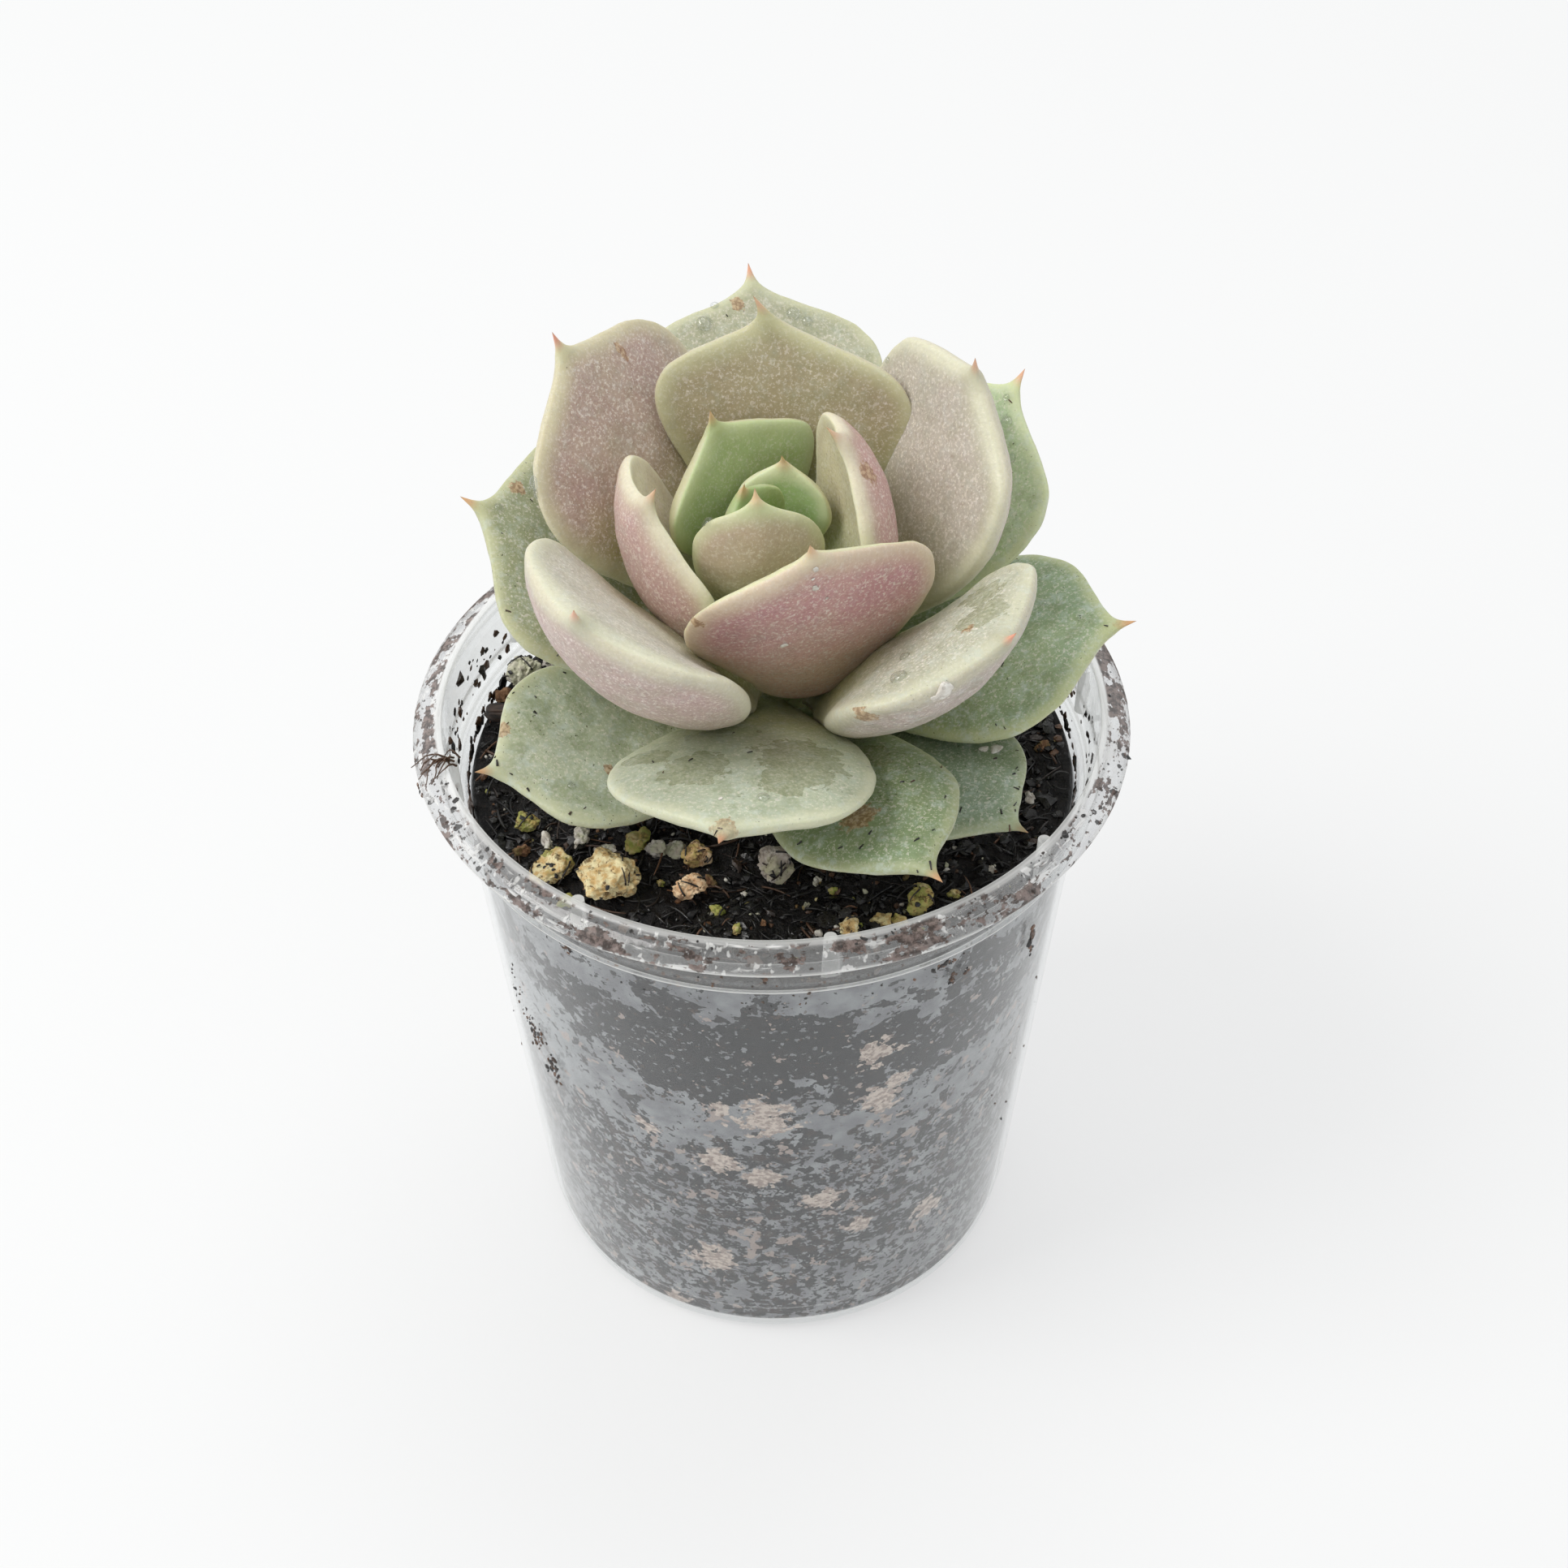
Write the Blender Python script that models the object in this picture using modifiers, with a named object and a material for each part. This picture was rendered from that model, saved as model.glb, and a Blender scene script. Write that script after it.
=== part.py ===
"""A small rosette succulent in a clear plastic nursery pot.

Units are metres, +Z is up. The origin is the centre of the pot's flat base and
the pot's axis is Z. The rosette leans a little towards -Y.
"""
import math

import bmesh
import bpy
import numpy as np
from mathutils import Matrix, Vector, noise

MM = 0.001
GAP = 0.3                     # clearance between pieces that touch, mm

# ---------------------------------------------------------------- pot, mm
POT_STEPS = 64
RIM_OUTER_R = 30.0            # widest point of the rolled rim
RIM_INNER_R = 27.5
POT_HEIGHT = 58.9
RIM_UNDER_Z = 57.0            # underside of the rim
BAND_TOP_R = 28.1             # recessed band under the rim
BAND_BOTTOM_R = 27.7
BAND_BOTTOM_Z = 52.9
WALL_TOP_R = 26.5
WALL_TOP_Z = 52.3
BASE_R = 22.0
WALL = 0.8
FLOOR = 0.8
LUG_AZIMUTHS = (193.4, 235.8, 279.1, 322.5, 8.7, 54.9, 101.1, 147.2)
LUG_R = 0.7
DRAIN_HOLES = 5
DRAIN_HOLE_R = 2.2
DRAIN_RING_R = 13.5

# ---------------------------------------------------------------- soil, mm
SOIL_STEPS = 48
SOIL_Z = 52.1                 # mean level of the surface
SOIL_ROUGH = 0.45
SOIL_TOP_R = 25.3

# ---------------------------------------------------------------- plant, mm
ROSETTE_AT = (0.5, 3.5, 57.0)  # foot of the rosette's own axis
ROSETTE_LEAN = 15.0            # degrees, towards -Y
STEM_PROFILE = ((-9.0, 3.2), (-8.0, 3.2), (6.0, 3.0), (11.0, 2.2), (14.0, 1.2), (14.6, 0.6))
LEAF_SEGMENTS = 8
LEAF_RINGS = 7
INNER_TILT = 15.0              # tilt of a leaf's foot where it meets the stem
RING_AT = (0.0, 0.16, 0.43, 0.67, 0.85, 0.955)  # rings of the cage, share of the length

# Driving dimensions of each leaf, in the rosette's frame (degrees and mm):
# azimuth, height of the base, radius of the base, length, tilt at the base,
# tilt at the tip, how the tilt spreads, width, roll about the midrib, sideways
# bend, cupping of the blade, bluntness of the end, place of the widest point,
# skew of the tip, shift in x and y, thickness, length and radius of the spine.
LEAVES = {
    "leaf_outer_1": (213, 0.8, 3.8, 26.0, 11, 32, 0.90, 15.9, 9, -4, 29, 0.78, 0.62, 0.0, -0.2, -0.1, 3.6, 2.2, 0.85),
    "leaf_outer_2": (270, 5.8, 6.1, 26.6, 39, 34, 0.89, 20.4, -3, -11, 2, 0.71, 0.59, -0.2, -2.2, -0.5, 3.6, 2.2, 0.85),
    "leaf_outer_3": (292, 2.6, 5.5, 27.2, 36, 18, 0.92, 14.5, -3, 6, -1, 1.09, 0.60, 0.7, -0.8, -0.8, 3.6, 2.2, 0.85),
    "leaf_outer_4": (317, -0.9, 3.6, 25.5, 18, 24, 0.90, 15.5, 5, -4, 22, 0.80, 0.59, 0.0, 0.1, -0.2, 3.6, 2.2, 0.85),
    "leaf_outer_5": (359, 2.5, 4.2, 26.1, 14, 29, 0.88, 19.8, 6, -8, 1, 0.88, 0.58, 0.2, 0.8, -0.1, 3.6, 2.2, 0.85),
    "leaf_outer_6": (42, 5.3, 6.6, 24.4, 23, 50, 0.89, 21.0, 4, -4, 22, 0.82, 0.62, 0.5, 1.4, 0.8, 3.1, 2.2, 0.85),
    "leaf_outer_7": (89, 4.8, 9.4, 28.3, 0, 34, 0.81, 21.4, -11, 7, 23, 0.86, 0.68, 0.5, -0.6, 0.0, 3.2, 2.2, 0.85),
    "leaf_outer_8": (164, 3.7, 3.9, 26.8, 32, 38, 0.89, 22.6, -3, 7, 16, 0.81, 0.69, -0.1, -0.1, 0.2, 3.6, 2.2, 0.85),
    "leaf_middle_1": (145, 8.1, 4.4, 26.8, 35, 66, 0.83, 22.2, -5, 6, 8, 0.81, 0.63, -0.4, -0.1, 3.0, 3.6, 2.2, 0.85),
    "leaf_middle_2": (84, 10.6, 6.9, 21.7, 37, 79, 0.80, 21.8, 0, 1, 36, 1.05, 0.64, 3.4, 0.1, 0.4, 3.6, 2.2, 0.85),
    "leaf_middle_3": (31, 7.8, 5.7, 27.6, 27, 93, 0.88, 21.5, 15, 8, 24, 0.58, 0.62, 0.1, 0.5, -0.1, 3.6, 2.2, 0.85),
    "leaf_middle_4": (219, 9.4, 6.3, 28.4, 41, 82, 1.14, 22.7, -2, 8, 54, 0.70, 0.60, 1.2, -0.2, -1.4, 3.6, 2.2, 0.85),
    "leaf_middle_5": (315, 7.0, 6.9, 26.7, 47, 65, 0.90, 20.1, 2, 5, 44, 0.60, 0.68, 0.6, 1.3, -0.5, 3.6, 2.2, 0.85),
    "leaf_inner_1": (280, 10.7, 6.2, 23.5, 81, 81, 0.85, 20.1, 1, 16, 9, 0.71, 0.58, -1.2, 1.3, -0.2, 3.0, 2.2, 0.85),
    "leaf_inner_2": (179, 10.4, 3.6, 21.1, 37, 107, 0.95, 17.8, -4, 30, 40, 0.76, 0.58, 1.1, -0.1, -0.1, 3.0, 2.2, 0.85),
    "leaf_inner_3": (21, 10.9, 3.4, 22.2, 45, 124, 0.86, 15.8, 0, -12, 28, 0.72, 0.58, 0.7, 0.1, 0.0, 3.0, 2.2, 0.85),
    "leaf_inner_4": (119, 12.7, 4.2, 14.8, 52, 83, 0.82, 16.2, -9, 11, 38, 0.79, 0.61, 0.3, 0.1, 0.8, 3.0, 2.2, 0.85),
    "leaf_core_1": (267, 15.1, 2.3, 15.8, 63, 116, 0.81, 10.9, -4, 6, 41, 0.85, 0.55, -0.3, -1.0, -0.5, 2.2, 1.2, 0.50),
    "leaf_core_2": (80, 14.5, 2.3, 10.2, 54, 93, 0.82, 8.3, -1, -1, 51, 0.80, 0.55, 0.4, 0.1, 1.0, 2.2, 1.2, 0.50),
    "leaf_core_3": (151, 15.3, 1.7, 11.2, 69, 98, 0.78, 8.4, 4, -1, 52, 0.80, 0.55, -0.1, -0.1, 0.0, 2.2, 1.2, 0.50),
    "leaf_low_1": (129, 1.2, 4.5, 25.0, 8, 22, 0.90, 18.9, -4, 1, 19, 0.80, 0.63, 0.0, -0.9, 0.7, 3.2, 2.2, 0.85),
    "leaf_low_2": (70, -1.3, 4.5, 22.1, 4, 14, 0.90, 16.9, -13, 0, 13, 0.80, 0.62, 0.0, -0.6, 1.4, 3.2, 2.2, 0.85),
    "leaf_low_3": (30, 0.0, 4.5, 17.5, 4, 12, 0.90, 15.0, -10, 0, 20, 0.80, 0.62, 0.0, 0.3, 0.9, 3.2, 2.2, 0.85),
}

# Pumice and perlite lying on the soil: x, y, then the three sizes, mm
GRAINS = {
    "pumice_1": (-12.9, -16.0, 5.6, 4.8, 3.6),
    "pumice_2": (-18.0, -14.0, 3.9, 3.4, 2.6),
    "pumice_3": (-6.4, -12.6, 2.5, 2.4, 2.2),
    "pumice_4": (-7.0, -16.4, 3.1, 2.4, 2.2),
    "pumice_5": (0.1, -14.2, 3.1, 3.0, 3.0),
    "pumice_6": (11.7, -18.6, 2.2, 2.2, 2.6),
    "pumice_7": (5.9, -21.0, 2.1, 2.0, 1.8),
    "pumice_8": (-20.4, -8.4, 2.2, 2.0, 1.6),
    "perlite_1": (-21.6, 10.0, 3.8, 3.6, 3.2),
    "perlite_2": (22.0, 6.5, 2.4, 2.6, 1.8),
    "perlite_3": (12.0, 20.5, 3.0, 2.6, 2.2),
}
BARK_AT = (-22.3, 4.6, 53.75)
BARK_SIZE = (4.6, 1.9, 1.5)
BARK_TURN = -4.0


def clear_scene():
    for obj in list(bpy.data.objects):
        bpy.data.objects.remove(obj, do_unlink=True)


def collection(name, hidden=False):
    found = bpy.data.collections.new(name)
    bpy.context.scene.collection.children.link(found)
    found.hide_render = hidden
    return found


def into(obj, target):
    for owner in list(obj.users_collection):
        owner.objects.unlink(obj)
    target.objects.link(obj)


def material(name, colour, roughness, transmission=0.0, alpha=1.0):
    made = bpy.data.materials.new(name)
    made.use_nodes = True
    shader = made.node_tree.nodes["Principled BSDF"]
    shader.inputs["Base Color"].default_value = (*colour, 1.0)
    shader.inputs["Roughness"].default_value = roughness
    shader.inputs["Metallic"].default_value = 0.0
    shader.inputs["Transmission Weight"].default_value = transmission
    shader.inputs["Alpha"].default_value = alpha
    made.diffuse_color = (*colour, alpha)
    return made


def smooth(obj, angle=40.0):
    obj.data.shade_smooth()
    obj.data.set_sharp_from_angle(angle=math.radians(angle))


def turned(name, profile, steps, target):
    """A solid of revolution about Z: the profile starts and ends on the axis
    and runs down its outer side from top to bottom."""
    mesh = bpy.data.meshes.new(name)
    mesh.from_pydata(
        [(r * MM, 0.0, z * MM) for r, z in profile],
        [(i, i + 1) for i in range(len(profile) - 1)],
        [],
    )
    obj = bpy.data.objects.new(name, mesh)
    target.objects.link(obj)
    screw = obj.modifiers.new("Turn", "SCREW")
    screw.axis = "Z"
    screw.angle = 2 * math.pi
    screw.steps = steps
    screw.render_steps = steps
    screw.use_merge_vertices = True
    screw.merge_threshold = 0.00001
    screw.use_smooth_shade = True
    return obj


def baked(obj):
    """The object's evaluated mesh in place of its modifiers."""
    bpy.context.view_layer.update()
    graph = bpy.context.evaluated_depsgraph_get()
    mesh = bpy.data.meshes.new_from_object(obj.evaluated_get(graph))
    obj.modifiers.clear()
    obj.data = mesh
    return obj


def cut(obj, tool, operation="DIFFERENCE"):
    boolean = obj.modifiers.new(tool.name, "BOOLEAN")
    boolean.operation = operation
    boolean.solver = "EXACT"
    boolean.object = tool


def as_tool(obj):
    obj.hide_render = True
    obj.display_type = "WIRE"


# ---------------------------------------------------------------- pot
def wall_radius(z):
    """Outer radius of the tapered wall."""
    return BASE_R + (WALL_TOP_R - BASE_R) * z / WALL_TOP_Z


def inner_radius(z):
    return wall_radius(z) - WALL


def pot_profile():
    """Inside from the floor's centre to the rim, then down the outside."""
    inside = [
        (0.0, FLOOR),
        (inner_radius(FLOOR) - 0.8, FLOOR),
        (inner_radius(1.6), 1.6),
        (inner_radius(26.0), 26.0),
        (inner_radius(WALL_TOP_Z - 0.4), WALL_TOP_Z - 0.4),
        (inner_radius(WALL_TOP_Z) + 0.3, WALL_TOP_Z + 0.2),
        (BAND_BOTTOM_R - WALL, BAND_BOTTOM_Z + 0.4),
        (BAND_TOP_R - WALL, RIM_UNDER_Z),
        (RIM_INNER_R - 0.05, POT_HEIGHT - 0.25),
        (RIM_INNER_R, POT_HEIGHT),
    ]
    rim = [
        (RIM_INNER_R + 0.45, POT_HEIGHT),
        (RIM_INNER_R + 1.3, POT_HEIGHT - 0.35),
        (RIM_INNER_R + 1.95, POT_HEIGHT - 0.8),
        (RIM_OUTER_R - 0.15, POT_HEIGHT - 1.25),
        (RIM_OUTER_R, POT_HEIGHT - 1.5),
        (RIM_OUTER_R - 0.3, RIM_UNDER_Z),
        (BAND_TOP_R + 0.15, RIM_UNDER_Z),
    ]
    outside = [
        (BAND_TOP_R - 0.02, RIM_UNDER_Z - 0.25),
        (BAND_BOTTOM_R, BAND_BOTTOM_Z),
        (BAND_BOTTOM_R - 0.35, BAND_BOTTOM_Z - 0.3),
        (WALL_TOP_R + 0.25, WALL_TOP_Z + 0.1),
        (WALL_TOP_R, WALL_TOP_Z - 0.3),
        (wall_radius(26.0), 26.0),
        (wall_radius(4.3), 4.3),
        (wall_radius(4.0) - 0.2, 4.0),
        (BASE_R - 0.05, 2.0),
        (BASE_R - 0.25, 1.7),
        (BASE_R - 0.3, 0.8),
        (BASE_R - 0.7, 0.2),
        (BASE_R - 1.3, 0.0),
        (0.0, 0.0),
    ]
    return inside + rim + outside


def make_pot(parts, cutters):
    pot = turned("pot", pot_profile(), POT_STEPS, parts)
    baked(pot)

    # stacking lugs: small upright ribs inside the band below the rim
    lug_mesh = bmesh.new()
    for azimuth in LUG_AZIMUTHS:
        a = math.radians(azimuth)
        r = BAND_BOTTOM_R - WALL + 0.15
        place = Matrix.Translation((r * math.cos(a) * MM, r * math.sin(a) * MM, (BAND_BOTTOM_Z + 3.1) * MM))
        bmesh.ops.create_cone(
            lug_mesh, cap_ends=True, segments=8, radius1=LUG_R * MM, radius2=LUG_R * 0.75 * MM,
            depth=4.6 * MM, matrix=place @ Matrix.Rotation(a, 4, "Z"),
        )
    mesh = bpy.data.meshes.new("lugs")
    lug_mesh.to_mesh(mesh)
    lug_mesh.free()
    lugs = bpy.data.objects.new("lugs", mesh)
    cutters.objects.link(lugs)
    as_tool(lugs)
    cut(pot, lugs, "UNION")

    # drain holes in a ring, leaving the centre of the base whole
    hole_mesh = bmesh.new()
    for k in range(DRAIN_HOLES):
        a = 2 * math.pi * k / DRAIN_HOLES + math.radians(18)
        place = Matrix.Translation((DRAIN_RING_R * math.cos(a) * MM, DRAIN_RING_R * math.sin(a) * MM, 0.0))
        bmesh.ops.create_cone(
            hole_mesh, cap_ends=True, segments=16, radius1=DRAIN_HOLE_R * MM, radius2=DRAIN_HOLE_R * MM,
            depth=6.0 * MM, matrix=place,
        )
    mesh = bpy.data.meshes.new("drain_holes")
    hole_mesh.to_mesh(mesh)
    hole_mesh.free()
    holes = bpy.data.objects.new("drain_holes", mesh)
    cutters.objects.link(holes)
    as_tool(holes)
    cut(pot, holes)
    baked(pot)
    smooth(pot, 35.0)
    pot.data.materials.clear()
    pot.data.materials.append(material("clear_plastic", (0.92, 0.93, 0.94), 0.12, transmission=0.9, alpha=0.35))
    return pot


# ---------------------------------------------------------------- soil
def make_soil(parts, cutters):
    def side(z):
        return inner_radius(z) - GAP

    profile = [(0.0, SOIL_Z)]
    profile += [(r, SOIL_Z) for r in (4.0, 8.0, 11.5, 15.0, 18.0, 20.5, 23.0)]
    profile += [(SOIL_TOP_R, SOIL_Z - 0.5), (side(SOIL_Z - 1.5), SOIL_Z - 1.5)]
    profile += [(side(z), z) for z in (26.0, 2.2)]
    profile += [(side(FLOOR + GAP) - 1.3, FLOOR + GAP), (0.0, FLOOR + GAP)]
    soil = turned("soil", profile, SOIL_STEPS, parts)
    baked(soil)
    for v in soil.data.vertices:
        if v.co.z > (SOIL_Z - 1.0) * MM:
            n = noise.noise(Vector((v.co.x / MM * 0.22, v.co.y / MM * 0.22, 3.1)))
            v.co.z += SOIL_ROUGH * MM * max(-1.0, min(0.8, 2.2 * n - 0.2))

    # socket for the stem
    axis = rosette_matrix()
    stem_r = STEM_PROFILE[0][1] + GAP
    bpy.ops.mesh.primitive_cylinder_add(vertices=20, radius=stem_r * MM, depth=16 * MM)
    socket = bpy.context.object
    socket.name = "stem_socket"
    socket.matrix_world = axis @ Matrix.Translation((0, 0, (STEM_PROFILE[0][0] - GAP + 8.0) * MM))
    into(socket, cutters)
    as_tool(socket)
    cut(soil, socket)
    baked(soil)
    smooth(soil, 50.0)
    soil.data.materials.clear()
    soil.data.materials.append(material("peat_mix", (0.035, 0.030, 0.028), 0.95))
    return soil


# ---------------------------------------------------------------- plant
def rosette_matrix():
    return Matrix.Translation(Vector(ROSETTE_AT) * MM) @ Matrix.Rotation(math.radians(ROSETTE_LEAN), 4, "X")


def stem_radius(z):
    heights = [h for h, _ in STEM_PROFILE]
    radii = [r for _, r in STEM_PROFILE]
    return float(np.interp(z, heights, radii))


class Leaf:
    """Shape of one leaf in its own frame: the midrib starts near the stem,
    heads along +X and lies in the XZ plane, apart from its sideways bend."""

    def __init__(self, row):
        (self.azimuth, self.base_z, self.base_r, self.length, self.tilt0, self.tilt1, self.spread,
         self.width, self.roll, self.bend, self.cup, self.blunt, self.widest, self.skew,
         self.dx, self.dy, self.thick, self.spine, self.spine_r) = row
        self.body = self.length - 0.75 * self.spine
        self.foot_tilt = min(self.tilt0, INNER_TILT)
        a, b = math.radians(self.tilt0), math.radians(self.foot_tilt)
        mean = math.cos(a) if abs(a - b) < 1e-3 else (math.sin(a) - math.sin(b)) / (a - b)
        reach = max(self.base_r - stem_radius(self.base_z) - 1.8 * GAP, 0.0)
        self.foot = reach / max(mean, 0.3)   # length of the foot that reaches in to the stem

    def tilt(self, x):
        """Angle of the midrib above the horizontal, x mm along it."""
        s = min(max(x / self.length, 0.0), 1.0)
        angle = self.tilt0 + (self.tilt1 - self.tilt0) * s ** self.spread
        if x < 0 and self.foot > 0:
            angle += (self.foot_tilt - self.tilt0) * min(-x / self.foot, 1.0)
        return math.radians(angle)

    def axes(self, x):
        a = self.tilt(x)
        h = math.radians(self.bend) * min(max(x / self.length, 0.0), 1.0)
        ahead = Vector((math.cos(a) * math.cos(h), math.cos(a) * math.sin(h), math.sin(a)))
        above = Vector((-math.sin(a) * math.cos(h), -math.sin(a) * math.sin(h), math.cos(a)))
        side = above.cross(ahead)
        r = math.radians(self.roll)
        return ahead, above * math.cos(r) + side * math.sin(r), side * math.cos(r) - above * math.sin(r)

    def midrib(self, x):
        """Point of the midrib, by adding up short steps along it."""
        steps = 24
        at = Vector((0.0, 0.0, 0.0))
        for k in range(steps):
            ahead, _, _ = self.axes(x * (k + 0.5) / steps)
            at += ahead * (x / steps)
        return at

    def half_width(self, x):
        v = max(x / self.body, 0.0)
        if v < self.widest:
            g = 0.42 + 0.58 * math.sin(math.pi / 2 * v / self.widest) ** 1.35
        else:
            q = min((v - self.widest) / (1 - self.widest), 1.0)
            g = max(1 - q ** 2.3, 0.0) ** self.blunt
        g *= 1 - 0.42 * min(max(-x / 3.0, 0.0), 1.0)
        return max(self.width / 2 * g, self.spine_half(x))

    def spine_half(self, x):
        if x < self.length - 2.2 * self.spine:
            return 0.0
        return self.spine_r * min(max((self.length - x) / (1.5 * self.spine), 0.0), 3.0) ** 0.9

    def thickness(self, x):
        v = min(max(x / self.body, 0.0), 1.0)
        t = self.thick * (0.62 + 0.38 * math.sin(math.pi * min(v / 0.95, 1.0)))
        t *= max(1 - v ** 4, 0.0) ** 0.6 * (1 - 0.2 * min(max(-x / 3.0, 0.0), 1.0))
        return max(t, 1.6 * self.spine_half(x))

    def point(self, x, turn):
        """Point of the skin x mm along the midrib, turn radians round it."""
        u, w = math.cos(turn), math.sin(turn)
        half, t = self.half_width(x), self.thickness(x)
        body = max(1 - (max(x, 0.0) / self.body) ** 6, 0.0)
        curl = math.radians(self.cup) * min(max(0.35 + 1.1 * x / self.length, 0.1), 1.0) * body + 1e-4
        edge = min(0.55 * t, 1.5)
        depth = edge * 0.5 * abs(w) ** 0.7 + (t - edge) * 0.5 * w * w
        if w >= 0:
            off = 0.8 * depth
        else:
            keel = 0.5 * body * math.exp(-((u / 0.16) ** 2)) * min(max(4 * x / self.length, 0.0), 1.0)
            off = -1.2 * depth - keel
        radius = half / curl
        _, above, side = self.axes(x)
        y = (radius - off) * math.sin(curl * u) + self.skew * min(max(x / self.length, 0.0), 1.0) ** 4
        z = radius * (1 - math.cos(curl * u)) + off * math.cos(curl * u)
        return self.midrib(x) + side * y + above * z


def smoothed(rings, base, tip):
    """Where one level of Catmull-Clark puts the cage's own points."""
    around = 0.75 * rings + 0.125 * (np.roll(rings, 1, axis=1) + np.roll(rings, -1, axis=1))
    before = np.concatenate([np.broadcast_to(base, around[:1].shape), around[:-1]])
    after = np.concatenate([around[1:], np.broadcast_to(tip, around[:1].shape)])
    moved = 0.75 * around + 0.125 * (before + after)
    new_base = 0.792 * base + 0.208 * rings[0].mean(axis=0)
    new_tip = 0.792 * tip + 0.208 * rings[-1].mean(axis=0)
    return moved, new_base, new_tip


def make_leaf(name, row, rosette, parts, skin):
    leaf = Leaf(row)
    bpy.ops.mesh.primitive_uv_sphere_add(segments=LEAF_SEGMENTS, ring_count=LEAF_RINGS, radius=1.0)
    obj = bpy.context.object
    obj.name = name
    obj.data.name = name
    into(obj, parts)

    stations = [-leaf.foot + (leaf.length + leaf.foot) * share for share in RING_AT]
    turns = [2 * math.pi * k / LEAF_SEGMENTS for k in range(LEAF_SEGMENTS)]
    wanted = np.array([[leaf.point(x, turn)[:] for turn in turns] for x in stations])
    wanted_base = wanted[0].mean(axis=0)
    wanted_tip = np.array(leaf.midrib(leaf.length - 0.02)[:]) + leaf.skew * np.array(leaf.axes(leaf.length)[2][:])

    # the cage is opened out until its smoothed points lie on the leaf's skin
    rings, base, tip = wanted.copy(), wanted_base.copy(), wanted_tip.copy()
    for _ in range(6):
        now, now_base, now_tip = smoothed(rings, base, tip)
        rings += 0.9 * (wanted - now)
        base += 0.9 * (wanted_base - now_base)
        tip += 0.9 * (wanted_tip - now_tip)

    for v in obj.data.vertices:
        lat = math.acos(max(-1.0, min(1.0, v.co.z)))      # 0 at the tip's pole
        ring = round(lat / (math.pi / LEAF_RINGS))
        if ring == 0:
            v.co = Vector(tip) * MM
        elif ring == LEAF_RINGS:
            v.co = Vector(base) * MM
        else:
            k = round(math.atan2(v.co.y, v.co.x) / (2 * math.pi / LEAF_SEGMENTS)) % LEAF_SEGMENTS
            v.co = Vector(rings[LEAF_RINGS - 1 - ring][k]) * MM
    subsurf = obj.modifiers.new("Skin", "SUBSURF")
    subsurf.levels = 1
    subsurf.render_levels = 1

    a = math.radians(leaf.azimuth)
    obj.parent = rosette
    obj.location = (
        (leaf.dx + leaf.base_r * math.cos(a)) * MM,
        (leaf.dy + leaf.base_r * math.sin(a)) * MM,
        leaf.base_z * MM,
    )
    obj.rotation_euler = (0.0, 0.0, a)
    obj.data.shade_smooth()
    obj.data.materials.clear()
    obj.data.materials.append(skin)
    return obj


def make_plant(parts):
    rosette = bpy.data.objects.new("rosette", None)
    rosette.empty_display_size = 10 * MM
    rosette.matrix_world = rosette_matrix()
    parts.objects.link(rosette)

    profile = [(0.0, STEM_PROFILE[-1][0])]
    profile += [(r, z) for z, r in reversed(STEM_PROFILE)]
    profile += [(0.0, STEM_PROFILE[0][0])]
    stem = turned("stem", profile, 20, parts)
    stem.parent = rosette
    baked(stem)
    smooth(stem, 50.0)
    stem.data.materials.clear()
    stem.data.materials.append(material("stem_skin", (0.36, 0.40, 0.26), 0.6))

    skins = {
        "low": ((0.28, 0.36, 0.24), 0.55),
        "outer": ((0.33, 0.42, 0.31), 0.5),
        "middle": ((0.52, 0.47, 0.42), 0.5),
        "inner": ((0.53, 0.42, 0.42), 0.5),
        "core": ((0.38, 0.46, 0.28), 0.45),
    }
    made = {key: material("leaf_" + key, *look) for key, look in skins.items()}
    for name, row in LEAVES.items():
        make_leaf(name, row, rosette, parts, made[name.split("_")[1]])
    bpy.context.view_layer.update()
    return rosette


# ---------------------------------------------------------------- on the soil
def make_grain(name, row, number, parts, stone):
    x, y, sx, sy, sz = row
    bpy.ops.mesh.primitive_ico_sphere_add(subdivisions=2, radius=1.0)
    obj = bpy.context.object
    obj.name = name
    obj.data.name = name
    into(obj, parts)
    turn = Matrix.Rotation(1.9 * number, 3, "Z")
    for v in obj.data.vertices:
        n = noise.noise(v.co * 1.6 + Vector((7.3 * number, 1.7, 4.1)))
        p = turn @ (v.co * (1 + 0.24 * n))
        v.co = Vector((p.x * sx / 2, p.y * sy / 2, p.z * sz / 2)) * MM
    low = min(v.co.z for v in obj.data.vertices)
    obj.location = (x * MM, y * MM, (SOIL_Z + SOIL_ROUGH * 0.8 + GAP) * MM - low)
    smooth(obj, 25.0)
    obj.data.materials.clear()
    obj.data.materials.append(stone)
    return obj


def make_bark(parts):
    bpy.ops.mesh.primitive_cube_add(size=1.0)
    obj = bpy.context.object
    obj.name = "bark_chip"
    obj.data.name = "bark_chip"
    into(obj, parts)
    size = Matrix.Diagonal(Vector(BARK_SIZE) * MM)
    for v in obj.data.vertices:
        v.co = size @ v.co
    bevel = obj.modifiers.new("Worn edges", "BEVEL")
    bevel.width = 0.45 * MM
    bevel.segments = 2
    obj.location = Vector(BARK_AT) * MM
    obj.rotation_euler = (0.0, 0.0, math.radians(BARK_TURN))
    obj.data.materials.clear()
    obj.data.materials.append(material("bark", (0.07, 0.05, 0.04), 0.9))


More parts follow.
